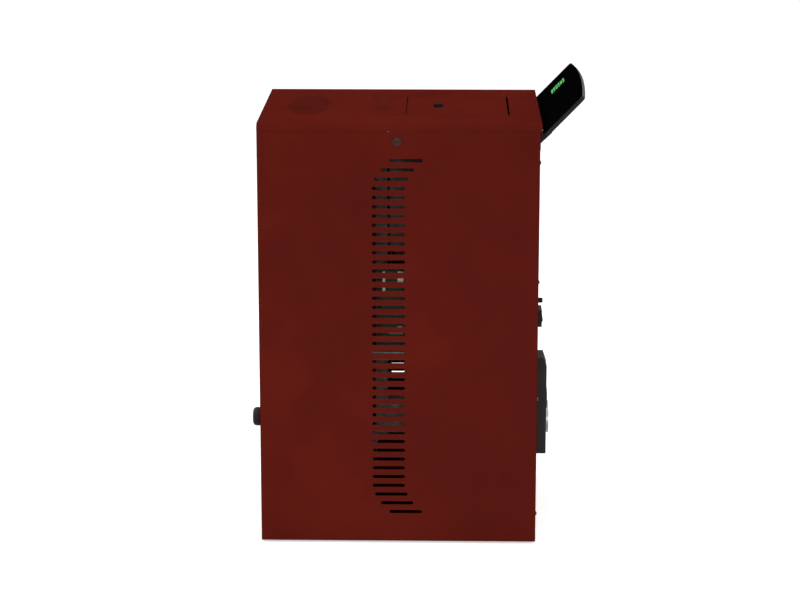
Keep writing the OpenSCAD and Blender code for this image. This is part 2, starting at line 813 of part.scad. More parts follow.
module hopper_lid() color(RED) place() difference() {
    cup = 1.5;
    finger_y = lid_y0 + finger_from_lid;
    union() {
        block([-lid_w / 2, lid_y0, body_h - lid_t], [lid_w / 2, lid_y1, body_h]);
        block([-lid_w / 2, lid_y0, body_h - lid_rim], [lid_w / 2, lid_y0 + sheet, body_h - over]);
        both_sides() block([lid_w / 2 - sheet, lid_y0, body_h - lid_rim],
            [lid_w / 2, lid_pin_y - lug_r - clear, body_h - over]);
        block([-finger_w / 2 - cup, finger_y - finger_l / 2 - cup, body_h - finger_depth - cup],
            [finger_w / 2 + cup, finger_y + finger_l / 2 + cup, body_h - over]);
        both_sides() {
            rod_x(lid_pin_x - lug_w / 2, lid_pin_x + lug_w / 2, lid_pin_y, lid_pin_z, lug_r);
            block([lid_pin_x - lug_w / 2, lid_pin_y - lug_r, lid_pin_z],
                [lid_pin_x + lug_w / 2, lid_pin_y + lug_r, body_h - over]);
        }
    }
    block([-finger_w / 2, finger_y - finger_l / 2, body_h - finger_depth],
        [finger_w / 2, finger_y + finger_l / 2, body_h + over]);
    both_sides() rod_x(lid_pin_x - lug_w / 2 - over, lid_pin_x + lug_w / 2 + over,
        lid_pin_y, lid_pin_z, lid_pin_d / 2 + running);
}

module lid_seal() color(BLACK) place() difference() {
    z0 = collar_top + clear;
    z1 = body_h - lid_t - clear;
    block([-mouth_x - 4, mouth_y0 - 4, z0], [mouth_x + 4, mouth_y1 + 2, z1]);
    block([-mouth_x + 4, mouth_y0 + 4, z0 - over], [mouth_x - 4, mouth_y1 - 4, z1 + over]);
}

module auger_tube() color(STEEL) place() difference() {
    cap = 3;
    union() {
        on_auger() cylinder(r = auger_r, h = auger_l);
        on_auger() translate([0, 0, -cap]) cylinder(r = auger_r + 5, h = cap);
        block([-throat_x, throat_y - throat_l, auger_low_z + auger_y - throat_y],
            [throat_x, throat_y + throat_l, throat_z - clear]);
        chute_solid(chute_out, chute_at);
    }
    on_auger() cylinder(r = auger_bore / 2, h = auger_l - cap);
    on_auger() translate([0, 0, -cap - over]) cylinder(r = auger_shaft_d / 2 + running, h = cap + 2 * over);
    difference() {
        block([-throat_x + 2, throat_y - throat_l + 2, auger_low_z + auger_y - throat_y],
            [throat_x - 2, throat_y + throat_l - 2, throat_z]);
        on_auger() translate([-throat_x, -4 * auger_r, -auger_l])
            cube([2 * throat_x, 4 * auger_r, 3 * auger_l]);
    }
    chute_solid(chute_w / 2, chute_at + over);
    block([-chute_out - over, -over, 0], [chute_out + over, liner_y0, body_h]);
}

module gearmotor() color(STEEL) place() on_auger() {
    cap = 3 + clear;
    difference() {
        translate([-gearbox_w / 2, -gearbox_w / 2, -cap - gearbox_l])
            cube([gearbox_w, gearbox_w, gearbox_l]);
        translate([0, 0, -cap - 20 - over]) cylinder(r = auger_shaft_d / 2 + running, h = 20 + 2 * over);
    }
    translate([0, 0, -cap - gearbox_l - feed_motor_l]) cylinder(d = feed_motor_d, h = feed_motor_l);
}

module auger_screw() color(STEEL) place() on_auger() {
    reach = auger_bore / 2 - auger_gap;
    flight_l = auger_l - 20;
    translate([0, 0, -18]) cylinder(r = auger_shaft_d / 2, h = auger_l + 8);
    translate([0, 0, 6]) linear_extrude(flight_l, twist = -360 * flight_l / auger_pitch, $fn = 8,
        slices = ceil(flight_l / auger_pitch * 18))
        polygon([[auger_shaft_d / 2 - 1, -2], [reach * cos(16), -reach * sin(16)], [reach, 0],
            [reach * cos(16), reach * sin(16)], [auger_shaft_d / 2 - 1, 2]]);
}

module firebox_shell() color(IRON) place() difference() {
    flange_x = in_x - 12;
    in_half = fire_x - plate;
    low = door_z0 - 30;
    union() {
        block([-fire_x, fire_y0, fire_floor - plate], [fire_x, fire_y1, fire_top]);
        block([-flange_x, fire_y0, low], [flange_x, fire_y0 + plate, door_z1 + 30]);
    }
    block([-in_half, fire_y0 + plate, fire_floor], [in_half, fire_y1 - plate, fire_top - plate]);
    block([-in_half, fire_y0 - over, window_z0 - 5], [in_half, fire_y0 + 2 * plate, window_z1 + 5]);
    block([-brazier_w / 2 - over, brazier_y0 - over, fire_floor - 2 * plate],
        [brazier_w / 2 + over, brazier_y1 + over, fire_floor + over]);
    for (side = [[-fire_x + 20, airbox_x0 - 8], [airbox_x1 + 8, fire_x - 20]])
        block([side[0], fire_y0 + 30, fire_floor - 2 * plate], [side[1], liner_y0 - 20, fire_floor + over]);
    tube_positions() rod_y(0, fire_y0 - over, fire_y1 + over, tube_z, tube_d / 2 + clear);
    block([-duct_x - duct_w + 24, fire_y1 - 2 * plate, smoke_slot_z],
        [-duct_x - 5, fire_y1 + over, smoke_slot_z + smoke_slot_h]);
    chute_solid(chute_out + clear, 2 * chute_at);
}

// Side and rear liners, with the baffle that lies on them
module liner_plates() color(IRON) place() {
    side_x = fire_x - plate - clear;
    liner_z0 = fire_floor + clear;
    liner_z1 = baffle_z - clear;
    groove = [6, 4, 20];
    both_sides() block([side_x - liner_t, fire_y0 + plate + 6, liner_z0],
        [side_x, liner_y0 - clear, liner_z1]);
    block([-side_x, fire_y0 + plate + 34, baffle_z], [side_x, liner_y1, baffle_z + baffle_t]);
    difference() {
        block([-side_x, liner_y0, liner_z0], [side_x, liner_y1, liner_z1]);
        chute_solid(chute_out + clear, 2 * chute_at);
        for (i = [-3 : 3]) if (i != 0)
            block([i * 42 - groove[0] / 2, liner_y0 - over, liner_z0 + groove[2]],
                [i * 42 + groove[0] / 2, liner_y0 + groove[1], liner_z1 - groove[2]]);
    }
}

module brazier() color(IRON) place() difference() {
    half = brazier_w / 2;
    z0 = fire_floor - brazier_down;
    z1 = fire_floor + brazier_up;
    union() {
        block([-half, brazier_y0, z0], [half, brazier_y1, z1]);
        block([-half - brazier_rim, brazier_y0 - brazier_rim, fire_floor + clear],
            [half + brazier_rim, brazier_y1 + brazier_rim, fire_floor + clear + brazier_t]);
    }
    block([-half + brazier_t, brazier_y0 + brazier_t, z0 + brazier_t],
        [half - brazier_t, brazier_y1 - brazier_t, z1 + over]);
    for (i = [-3 : 3]) for (j = [-2 : 2])
        rod_z(i * 14, (brazier_y0 + brazier_y1) / 2 + j * 15, z0 - over, z0 + brazier_t + over, 2.5);
    rod_y(0, brazier_y1 - brazier_t - over, brazier_y1 + over, z0 + 18, 6);
}

module air_box() color(STEEL) place() difference() {
    block([airbox_x0, airbox_y0, airbox_z0], [airbox_x1, airbox_y1, airbox_z1]);
    block([airbox_x0 + 2, airbox_y0 + 2, airbox_z0 + 2], [airbox_x1 - 2, airbox_y1 - 2, airbox_z1 + over]);
    rod_y(intake_x, airbox_y1 - 2 - over, airbox_y1 + over, intake_z, intake_d / 2 + clear);
    rod_y(0, airbox_y1 - 2 - over, airbox_y1 + over, fire_floor - brazier_down + 18, 5 + clear);
}

module igniter() color(ZINC) place() {
    z = fire_floor - brazier_down + 18;
    rod_y(0, brazier_y1 - 1, airbox_y1 + 22, z, 5);
    rod_y(0, airbox_y1 + clear, airbox_y1 + 4, z, 11);
}

// Round pipe along Y with a stop bead just behind the rear panel
module rear_pipe(x, y0, y1, z, r, t) difference() {
    union() {
        rod_y(x, y0, y1, z, r);
        rod_y(x, rear_y1 + clear, rear_y1 + clear + 3, z, r + 3);
    }
    rod_y(x, y0 - over, y1 + over, z, r - t);
}

module air_intake_pipe() color(BLACK) place()
    rear_pipe(intake_x, airbox_y1 - 8, body_d + intake_out, intake_z, intake_d / 2, 1.5);

module hinge_plate() {
    x0 = pin_x - 13;
    x1 = front_x - sheet - 0.6;
    z0 = door_z1 + 1.5;
    difference() {
        union() {
            block([x0, face_y, z0], [x1, fire_y0 - clear, z0 + hinge_plate_t]);
            block([x0, fire_y0 - clear - 3, z0], [x1, fire_y0 - clear, z0 + 22]);
        }
        rod_z(pin_x, pin_y, z0 - over, z0 + hinge_plate_t + over, door_pin_d / 2 + running);
    }
    rod_z(pin_x, pin_y, door_z1 - door_pin_l + 2, z0 + hinge_plate_t + 0.8, door_pin_d / 2);
}

module door_brackets() color(STEEL) place() {
    mid_z = (door_z0 + door_z1) / 2;
    hinge_plate();
    translate([0, 0, 2 * mid_z]) mirror([0, 0, 1]) hinge_plate();
    keeper_x0 = -(in_x - 1.5);
    keeper_x1 = -front_x - 3;
    keeper_z0 = spindle_z - 20;
    keeper_z1 = spindle_z + 20;
    block([keeper_x0, tongue_y0 - clear - 5.5, keeper_z0], [keeper_x1, tongue_y0 - clear, keeper_z1]);
    block([keeper_x0, tongue_y0 - clear - over, keeper_z0], [keeper_x0 + 5, post_y0 - clear, keeper_z1]);
}

module heat_exchanger() color(STEEL) place() tube_positions() difference() {
    rod_y(0, fire_y0 - 6, fire_y1 + 7, tube_z, tube_d / 2);
    rod_y(0, fire_y0 - 6 - over, fire_y1 + 7 + over, tube_z, tube_d / 2 - tube_t);
}

module warm_air_duct() color(ZINC) place() difference() {
    duct_z0 = room_out_z0 - 6;
    duct_z1 = plenum_z0 + plenum_h;
    union() {
        block([duct_x, duct_y0, duct_z0], [duct_x + duct_w, duct_y1, duct_z1]);
        block([-plenum_x, duct_y0, plenum_z0], [duct_x + duct_w, duct_y1, duct_z1]);
    }
    block([duct_x + sheet, duct_y0 + sheet, duct_z0 + sheet],
        [duct_x + duct_w - sheet, duct_y1 - sheet, duct_z1 - sheet]);
    block([-plenum_x + sheet, duct_y0 + sheet, plenum_z0 + sheet],
        [duct_x + duct_w - sheet, duct_y1 - sheet, duct_z1 - sheet]);
    tube_positions() rod_y(0, duct_y0 - over, duct_y0 + sheet + over, tube_z, tube_d / 2 + clear);
    block([duct_x + 5, duct_y1 - sheet - over, room_out_z0 + 4],
        [duct_x + duct_w - 5, duct_y1 + over, room_out_z1 - 4]);
}

module hood_solid(t) {
    front_y = face_y + 4;
    z1 = t > 0 ? body_h : top_under - clear;
    block([-plenum_x + t, front_y + t, plenum_z0 + t], [plenum_x - t, fire_y0 - clear - t, z1]);
    block([-plenum_x + t, front_y + t, fire_top + clear + t],
        [plenum_x - t, oval_from_front + oval_l / 2 + 16 - t, z1]);
}

module outlet_hood() color(ZINC) place() difference() {
    hood_solid(0);
    hood_solid(sheet);
    tube_positions() rod_y(0, fire_y0 - clear - sheet - over, fire_y0, tube_z, tube_d / 2 + clear);
}

module room_fan_housing() color(STEEL) place() {
    motor_r = 28;
    difference() {
        union() {
            rod_x(room_fan_x, room_fan_x1, room_fan_y, room_fan_z, room_fan_r + fan_wall);
            block([room_fan_x, duct_y1 + clear, room_out_z0],
                [room_fan_x1, room_fan_y, room_out_z1 + fan_wall]);
        }
        rod_x(room_fan_x + fan_wall, room_fan_x1 - fan_wall, room_fan_y, room_fan_z, room_fan_r);
        block([room_fan_x + fan_wall, duct_y1 - over, room_out_z0 + fan_wall],
            [room_fan_x1 - fan_wall, room_fan_y, room_out_z1]);
        rod_x(room_fan_x1 - fan_wall - over, room_fan_x1 + over, room_fan_y, room_fan_z, 44);
        rod_x(room_fan_x - over, room_fan_x + fan_wall + over, room_fan_y, room_fan_z, fan_shaft_d / 2 + 2);
    }
    difference() {
        rod_x(room_fan_x - clear - 14, room_fan_x - clear, room_fan_y, room_fan_z, motor_r);
        rod_x(room_fan_x - clear - 12, room_fan_x + over, room_fan_y, room_fan_z, fan_shaft_d / 2 + running);
    }
}

module room_fan_wheel() color(STEEL) place() {
    wheel_r = room_fan_r - 12;
    x0 = room_fan_x + fan_wall + 3;
    x1 = room_fan_x1 - fan_wall - 3;
    translate([x0, room_fan_y, room_fan_z]) rotate([0, 90, 0]) {
        cylinder(r = wheel_r, h = 1.5);
        cylinder(r = 11, h = 16);
        for (i = [0 : 23]) rotate(i * 15) translate([wheel_r - 12, -0.6, 1]) cube([11, 1.2, x1 - x0 - 2]);
        translate([0, 0, x1 - x0 - 2]) difference() {
            cylinder(r = wheel_r, h = 2);
            translate([0, 0, -over]) cylinder(r = wheel_r - 13, h = 2 + 2 * over);
        }
    }
    rod_x(room_fan_x - clear - 10, x0 + 8, room_fan_y, room_fan_z, fan_shaft_d / 2);
}

module smoke_duct_solid(t) {
    fan_side = flue_fan_x0 - clear;
    low = flue_fan_z - flue_fan_r;
    block([-duct_x - duct_w + t, duct_y0 + t, low + t], [-duct_x - t, duct_y1 - t, smoke_z1 - t]);
    block([-duct_x - duct_w + t, duct_y0 + t, low + t],
        [fan_side - t, flue_fan_y + 46 - t, flue_fan_z + 52 - t]);
}

module smoke_duct() color(STEEL) place() difference() {
    smoke_duct_solid(0);
    smoke_duct_solid(sheet);
    block([-duct_x - duct_w + 24, duct_y0 - over, smoke_slot_z],
        [-duct_x - 5, duct_y0 + sheet + over, smoke_slot_z + smoke_slot_h]);
    rod_x(flue_fan_x0 - clear - sheet - over, flue_fan_x0, flue_fan_y, flue_fan_z, fan_inlet_d / 2);
}

module flue_fan_housing() color(IRON) place() {
    out_z0 = flue_z - flue_d / 2 - fan_wall;
    out_z1 = flue_z + flue_d / 2 + fan_wall;
    motor_x0 = flue_fan_x1 + clear;
    foot_t = 1.5 * fan_wall;
    foot_half = flue_d / 4;
    difference() {
        union() {
            rod_x(flue_fan_x0, flue_fan_x1, flue_fan_y, flue_fan_z, flue_fan_r + fan_wall);
            block([flue_fan_x0, flue_fan_y, out_z0], [flue_fan_x1, flue_fan_y1, out_z1]);
        }
        rod_x(flue_fan_x0 + fan_wall, flue_fan_x1 - fan_wall, flue_fan_y, flue_fan_z, flue_fan_r);
        block([flue_fan_x0 + fan_wall, flue_fan_y, out_z0 + fan_wall],
            [flue_fan_x1 - fan_wall, flue_fan_y1 - fan_wall, out_z1 - fan_wall]);
        rod_x(flue_fan_x0 - over, flue_fan_x0 + fan_wall + over, flue_fan_y, flue_fan_z, fan_inlet_d / 2);
        rod_x(flue_fan_x1 - fan_wall - over, flue_fan_x1 + over, flue_fan_y, flue_fan_z,
            fan_shaft_d / 2 + 2);
        rod_y(flue_x, flue_fan_y1 - fan_wall - over, flue_fan_y1 + over, flue_z, flue_d / 2 - flue_t);
    }
    difference() {
        rod_x(motor_x0, motor_x0 + flue_motor_l, flue_fan_y, flue_fan_z, flue_motor_d / 2);
        rod_x(motor_x0 - over, motor_x0 + flue_motor_l - 8, flue_fan_y, flue_fan_z,
            fan_shaft_d / 2 + running);
    }
    for (x = [flue_fan_x0 + 2 * foot_t, flue_fan_x1 - 3 * foot_t])
        block([x, flue_fan_y - foot_half, base_z1 + clear],
            [x + foot_t, flue_fan_y + foot_half, flue_fan_z - flue_fan_r - 0.5]);
}

module flue_fan_wheel() color(STEEL) place() {
    wheel_r = flue_fan_r - 12;
    blade_in = flue_d / 5;
    blade_l = 0.6 * flue_fan_w;
    x1 = flue_fan_x1 - fan_wall - 4;
    translate([x1 - 2, flue_fan_y, flue_fan_z]) rotate([0, 90, 0]) {
        cylinder(r = wheel_r, h = 2);
        translate([0, 0, -16]) cylinder(r = 10, h = 17);
        for (i = [0 : 9]) rotate(i * 36) translate([blade_in, -0.8, -blade_l])
            cube([wheel_r - 1 - blade_in, 1.6, blade_l + 1]);
        for (i = [0 : 9]) rotate(i * 36) translate([8, -0.8, -14]) cube([blade_in - 4, 1.6, 14]);
    }
    rod_x(x1 - 10, flue_fan_x1 + clear + flue_motor_l - 10, flue_fan_y, flue_fan_z, fan_shaft_d / 2);
}

module flue_spigot() color(STEEL) place() {
    y0 = flue_fan_y1 + clear;
    rear_pipe(flue_x, y0, body_d + flue_out, flue_z, flue_d / 2, flue_t);
    difference() {
        rod_y(flue_x, y0, y0 + 2, flue_z, flue_d / 2 + 10);
        rod_y(flue_x, y0 - over, y0 + 2 + over, flue_z, flue_d / 2 - flue_t);
    }
}

// A block on the control board, placed and sized by shares of the board's length and height
module on_board(x0, x1, low, high) block(
    [x0, board_from_front + low[0] * board_l, board_z0 + low[1] * board_h],
    [x1, board_from_front + high[0] * board_l, board_z0 + high[1] * board_h]);

module control_board() color("#12351f") place() {
    face_x = board_x + board_t;
    block([board_x, board_from_front, board_z0 + 2], [face_x, board_y1, board_z0 + board_h]);
    for (y = [board_from_front + 8, board_y1 - 8]) for (z = [board_z0 + 12, board_z0 + board_h - 10])
        rod_x(board_plate_x + sheet + clear, board_x + 0.5, y, z, 3);
    on_board(board_x + 1, face_x + relay_h, [0.12, 0.16], [0.37, 0.29]);
    for (share = [0.485 : 0.125 : 0.9])
        on_board(board_x + 1, face_x + relay_h - 1, [share, 0.6], [share + 0.09, 0.7]);
}

module board_connectors() color("#e8e6df") place() {
    x0 = board_x + board_t + clear;
    on_board(x0, x0 + relay_h - 1, [0.015, 0.75], [0.06, 0.99]);
    on_board(x0, x0 + relay_h, [0.27, 0.86], [0.37, 0.99]);
    on_board(x0, x0 + relay_h, [0.485, 0.04], [0.88, 0.09]);
    on_board(x0, x0 + relay_h - 3, [0.27, 0.31], [0.35, 0.34]);
}

module pressure_switch() color(BLACK) place() {
    x = -duct_x - duct_w / 2;
    top = flue_fan_z + 52;
    block([x - 16, flue_fan_y - 80, top + clear], [x + 10, flue_fan_y - 50, top + 8]);
    rod_x(x - 14, x + 8, flue_fan_y - 65, top + 26, 22);
    rod_x(x - 22, x - 13, flue_fan_y - 65, top + 26, 3);
}

module safety_thermostat() color(BLACK) place() difference() {
    union() {
        rod_y(cap_x, core_y1 - 26, core_y1, cap_z, 9);
        rod_y(cap_x, core_y1 - over, body_d + cap_out - 7, cap_z, cap_d / 2 - 2.2);
    }
    rod_y(cap_x, body_d - 9, body_d + cap_out, cap_z, 2 + running);
}

module reset_button() color("#a02018") place()
    rod_y(cap_x, body_d - 5, body_d + cap_out - 5, cap_z, 2);

module reset_cap() color(BLACK) place() difference() {
    rod_y(cap_x, rear_y1 + clear, body_d + cap_out, cap_z, cap_d / 2);
    rod_y(cap_x, rear_y1, body_d + cap_out - 1.5, cap_z, cap_d / 2 - 2.2 + clear);
}

rocker_x0 = mains_x + mains_w - 24;
rocker_w = 18;
rocker_y = body_d + mains_out - 5;
rocker_r = 9.5;

module mains_inlet() color(BLACK) place() difference() {
    x1 = mains_x + mains_w;
    z0 = mains_z - mains_h / 2;
    z1 = mains_z + mains_h / 2;
    face = body_d + mains_out;
    union() {
        translate([mains_x, 0, 0]) rotate([90, 0, 90]) linear_extrude(mains_w)
            polygon([[rear_y1 + clear, z0], [face - 2, z0], [face, z0 + 3], [face, z1 - 7],
                [face - 6, z1], [rear_y1 + clear, z1]]);
        block([mains_x + 4, rear_y0 - 15, z0 + 4], [x1 - 4, rear_y1 + over, z1 - 4]);
    }
    block([mains_x + 5, face - 16, mains_z - 8], [mains_x + 29, face + over, mains_z + 8]);
    block([rocker_x0 - clear, face - 15, mains_z - 12],
        [rocker_x0 + rocker_w + clear, face + over, mains_z + 12]);
    rod_x(rocker_x0 - 3, rocker_x0 + rocker_w + 3, rocker_y, mains_z, 1.5 + running);
}

// The switch stands tipped to its lower end at rest
module rocker_switch() color(BLACK) place() {
    translate([rocker_x0, rocker_y, mains_z]) rotate([8, 0, 0]) intersection() {
        translate([0, -4, -11]) cube([rocker_w, 11, 22]);
        union() {
            rotate([0, 90, 0]) cylinder(r = rocker_r, h = rocker_w);
            translate([0, 0, -rocker_r]) cube([rocker_w, 5, 2 * rocker_r]);
        }
    }
    rod_x(rocker_x0 - 2.5, rocker_x0 + rocker_w + 2.5, rocker_y, mains_z, 1.5);
}

// Outline of the control panel: straight sides, a bowed free edge and round corners
bow_r = (pow(panel_w / 2, 2) + pow(panel_bulge, 2)) / (2 * panel_bulge);
bow_y = panel_l - bow_r;
corner_x = panel_w / 2 - panel_corner_r;
corner_y = bow_y + sqrt(pow(bow_r - panel_corner_r, 2) - pow(corner_x, 2));
bow_angle = atan2(corner_y - bow_y, corner_x);

function arc(cx, cy, r, a0, a1, steps) =
    [for (i = [0 : steps]) let (a = a0 + (a1 - a0) * i / steps) [cx + r * cos(a), cy + r * sin(a)]];

panel_outline = concat([[-panel_w / 2, 0], [panel_w / 2, 0]],
    arc(corner_x, corner_y, panel_corner_r, 0, bow_angle, 6),
    arc(0, bow_y, bow_r, bow_angle, 180 - bow_angle, 16),
    arc(-corner_x, corner_y, panel_corner_r, 180 - bow_angle, 180, 6));

module panel_plate(z0, z1) translate([0, 0, z0]) linear_extrude(z1 - z0) polygon(panel_outline);

module display_block(grow, z0, z1)
    translate([-display_x - display_w / 2 - grow, display_v - display_h / 2 - grow, z0])
        cube([display_w + 2 * grow, display_h + 2 * grow, z1 - z0]);

module panel_housing() color(BLACK) place() on_panel() difference() {
    panel_plate(-panel_t, -panel_glass_t - clear);
    translate([-panel_w / 2 + 20, 20, -panel_t + 2])
        cube([panel_w - 40, panel_l - panel_bulge - 40, panel_t]);
}

module panel_glass() color("#050506") place() on_panel() difference() {
    panel_plate(-panel_glass_t, 0);
    display_block(0, -panel_glass_t - over, over);
}

module panel_display() color("#1f3d22") place() on_panel()
    display_block(-clear, -panel_glass_t - 3, -0.4);

module panel_bracket() color(STEEL) place() {
    y0 = rear_y1 + clear;
    foot_y = panel_y + (panel_t + clear) * sin(panel_tilt);
    foot_z = panel_z - (panel_t + clear) * cos(panel_tilt);
    lip_y = clear * cos(panel_tilt);
    lip_z = clear * sin(panel_tilt);
    outer_x = front_x + seam - clear;
    low_z = foot_z - bracket_drop;
    arm_y = foot_y + bracket_reach * cos(panel_tilt);
    arm_z = foot_z + bracket_reach * sin(panel_tilt);
    for (x = [-outer_x, -bracket_w / 2, outer_x - bracket_w])
        translate([x, 0, 0]) rotate([90, 0, 90]) linear_extrude(bracket_w)
            polygon([[y0, low_z], [y0 + bracket_t, low_z],
                [y0 + bracket_t, foot_z - bracket_reach - bracket_t],
                [arm_y + bracket_t * sin(panel_tilt), arm_z - bracket_t * cos(panel_tilt)],
                [arm_y, arm_z], [foot_y - lip_y, foot_z - lip_z], [panel_y - lip_y, panel_z - lip_z],
                [y0, panel_z - lip_z]]);
}

module door_frame() color(IRON) place() difference() {
    block([-front_x, face_y, door_z0], [front_x, door_back, door_z1]);
    block([-window_x, face_y - over, window_z0], [window_x, door_back + over, window_z1]);
    block([-window_x - glass_lap, glass_y, window_z0 - glass_lap],
        [window_x + glass_lap, door_back + over, window_z1 + glass_lap]);
    rod_z(pin_x, pin_y, door_z1 - door_pin_l, door_z1 + over, door_pin_d / 2 + running);
    rod_z(pin_x, pin_y, door_z0 - over, door_z0 + door_pin_l, door_pin_d / 2 + running);
    rod_y(spindle_x, face_y - over, door_back + over, spindle_z, spindle_d / 2 + running);
}

module door_glass() color("#20181688") place() {
    half = window_x + glass_lap - 1;
    block([-half, glass_y + clear, window_z0 - glass_lap + 1],
        [half, glass_y + clear + glass_t, window_z1 + glass_lap - 1]);
}

module door_gasket() color("#77736c") place() difference() {
    out = gasket_x + gasket_w;
    block([-out, door_back + clear, window_z0 - gasket_in - gasket_w],
        [out, fire_y0 - clear, window_z1 + gasket_in + gasket_w]);
    block([-gasket_x, door_back, window_z0 - gasket_in], [gasket_x, fire_y0, window_z1 + gasket_in]);
}

module glass_clips() color(ZINC) place() both_sides() for (z = [window_z0 + 60, window_z1 - 60]) {
    clip_y = glass_y + 2 * clear + glass_t;
    x1 = window_x + glass_lap;
    z0 = z - stile_w / 4;
    z1 = z + stile_w / 4;
    block([window_x - 4, clip_y, z0], [x1 - 0.5, clip_y + sheet, z1]);
    block([x1 - 0.5 - sheet, clip_y, z0], [x1 - 0.5, door_back + clear + sheet, z1]);
    block([x1 - 0.5 - sheet, door_back + clear, z0], [gasket_x - 0.5, door_back + clear + sheet, z1]);
}

// Spindle, boss and grip, with the latch tongue keyed on the spindle's rear end
module door_handle() color(STEEL) place() {
    grip_y = face_y - grip_out;
    grip_z1 = spindle_z + 14;
    grip_z0 = grip_z1 - grip_l;
    rod_y(spindle_x, face_y - 10, tongue_y0 + tongue_t + 1, spindle_z, spindle_d / 2);
    rod_y(spindle_x, face_y - 10, face_y - clear, spindle_z, 12);
    rod_y(spindle_x, grip_y, face_y - 9, spindle_z, 7);
    rod_z(spindle_x, grip_y, grip_z0, grip_z1, grip_d / 2);
    for (z = [grip_z0, grip_z1]) translate([spindle_x, grip_y, z]) sphere(d = grip_d, $fn = 32);
    rod_y(spindle_x, tongue_y0, tongue_y0 + tongue_t, spindle_z, 9);
    block([spindle_x - tongue_w / 2, tongue_y0, spindle_z - tongue_l],
        [spindle_x + tongue_w / 2, tongue_y0 + tongue_t, spindle_z]);
}

module ash_pan() color(ZINC) place() difference() {
    block([-pan_w / 2, pan_y0, pan_z0], [pan_w / 2, pan_y0 + pan_l, pan_z0 + pan_h]);
    block([-pan_w / 2 + pan_t, pan_y0 + pan_t, pan_z0 + pan_t],
        [pan_w / 2 - pan_t, pan_y0 + pan_l - pan_t, pan_z0 + pan_h + over]);
}

module drawer_front() color(RED) place() difference() {
    block([-front_x, face_y, drawer_z0], [front_x, face_y + drawer_rim, drawer_z1]);
    block([-front_x + sheet, face_y + sheet, drawer_z0 + sheet],
        [front_x - sheet, face_y + drawer_rim + over, drawer_z1 - sheet]);
}

module drawer_knob() color(BLACK) place() {
    r = knob_d / 2;
    length = face_y + knob_out - clear;
    translate([0, face_y - clear, knob_z]) rotate([90, 0, 0]) rotate_extrude($fn = 64)
        polygon([[0, 0], [12, 0], [10, length * 0.3], [r - 4, length * 0.42], [r - 1, length * 0.5],
            [r, length * 0.6], [r, length * 0.78], [r - 2, length * 0.9], [r - 6, length * 0.97],
            [r - 12, length], [0, length]]);
}

module panel_lock() {
    shank_r = lock_d / 2 - 3;
    difference() {
        rod_x(half_w + clear, half_w + lock_t, lock_from_front, lock_z, lock_d / 2);
        block([half_w + lock_t - 1, lock_from_front - 7, lock_z - 1],
            [half_w + lock_t + over, lock_from_front + 7, lock_z + 1]);
    }
    rod_x(in_x - 12, half_w + 1, lock_from_front, lock_z, shank_r);
    block([in_x - 12, lock_from_front - 6, lock_z - lock_cam_l], [in_x - 8.5, lock_from_front + 6, lock_z]);
}

module right_panel_lock() color(STEEL) place() panel_lock();

module left_panel_lock() color(STEEL) place() mirror([1, 0, 0]) panel_lock();

module foot(side, y) color(BLACK) place() translate([side * (half_w - foot_in), y, 0]) {
    rod_z(0, 0, 0, pad_t, foot_d / 2);
    rod_z(0, 0, pad_t - over, base_z1 + 22, stem_d / 2);
}

module foot_front_left() foot(-1, foot_from_front);

module foot_front_right() foot(1, foot_from_front);

module foot_rear_left() foot(-1, body_d - foot_from_rear);

module foot_rear_right() foot(1, body_d - foot_from_rear);

// Cables inside the casing: from the control board's edges to the gearmotor, panel and mains module
cable_r = 3;
cable_x = board_x - 2.9;
gear_x = gearbox_w / 2;
motor_start = [cable_x - 40, board_y1 + 50, board_z0 - 35];
motor_end = [gear_x + 19, auger_y + 20, auger_low_z + 50];
motor_cable = [[cable_x, board_y1 - 17, board_z0], [cable_x - 10, board_y1 + 5, board_z0 - 15], motor_start,
    motor_start * 0.68 + motor_end * 0.32 + [0, 20, 2], motor_start * 0.27 + motor_end * 0.73 + [0, 15, 3],
    motor_end, [gear_x + 10, auger_y + 24, auger_low_z + 15], [gear_x + 8, auger_y + 22, auger_low_z - 8],
    [gear_x + 2.4, auger_y + 20, auger_low_z - 15]];
board_top = board_z0 + board_h;
panel_cable = [[cable_x, board_y1 - 20, board_top], [cable_x - 4, board_y1 + 5, board_top + 35],
    [cable_x - 10, board_y1 + 50, board_top + 85], [cable_x - 14, body_d - 105, body_h - 180],
    [cable_x - 14, body_d - 45, body_h - 120], [cable_x - 14, body_d - 15, body_h - 40]];
mains_cable = [[cable_x, board_y1, board_z0 + 25], [cable_x - 6, board_y1 + 30, board_z0 + 29],
    [mains_x + 52, rear_y0 - 121.7, mains_z - 15], [mains_x + 37, rear_y0 - 51.7, mains_z - 5],
    [mains_x + 28, rear_y0 - 16.7, mains_z]];

function unit(v) = v / norm(v);

// Points of a smooth curve through the route's points
function spline(p, steps) = [for (i = [0 : len(p) - 2]) for (k = [0 : steps - 1])
    let (a = p[max(i - 1, 0)], b = p[i], c = p[i + 1], d = p[min(i + 2, len(p) - 1)], t = k / steps)
        (2 * b + t * (c - a) + t * t * (2 * a - 5 * b + 4 * c - d)
            + t * t * t * (3 * b - a - 3 * c + d)) / 2,
    p[len(p) - 1]];

module cable(route) {
    line = spline(route, 3);
    sides = 8;
    last = len(line) - 1;
    points = [for (i = [0 : last])
        let (t = unit(line[min(i + 1, last)] - line[max(i - 1, 0)]),
            u = unit(cross(t, [1, 0, 0.2])), w = cross(t, u))
            for (k = [0 : sides - 1]) line[i] + cable_r * (cos(k * 45) * u + sin(k * 45) * w)];
    walls = [for (i = [0 : last - 1]) for (k = [0 : sides - 1]) for (half = [0, 1])
        let (a = i * sides + k, b = i * sides + (k + 1) % sides)
            half == 0 ? [a, b, b + sides] : [a, b + sides, a + sides]];
    start = [for (k = [1 : sides - 2]) [0, k + 1, k]];
    end = [for (k = [1 : sides - 2]) [last * sides, last * sides + k, last * sides + k + 1]];
    polyhedron(points, concat(walls, start, end));
}

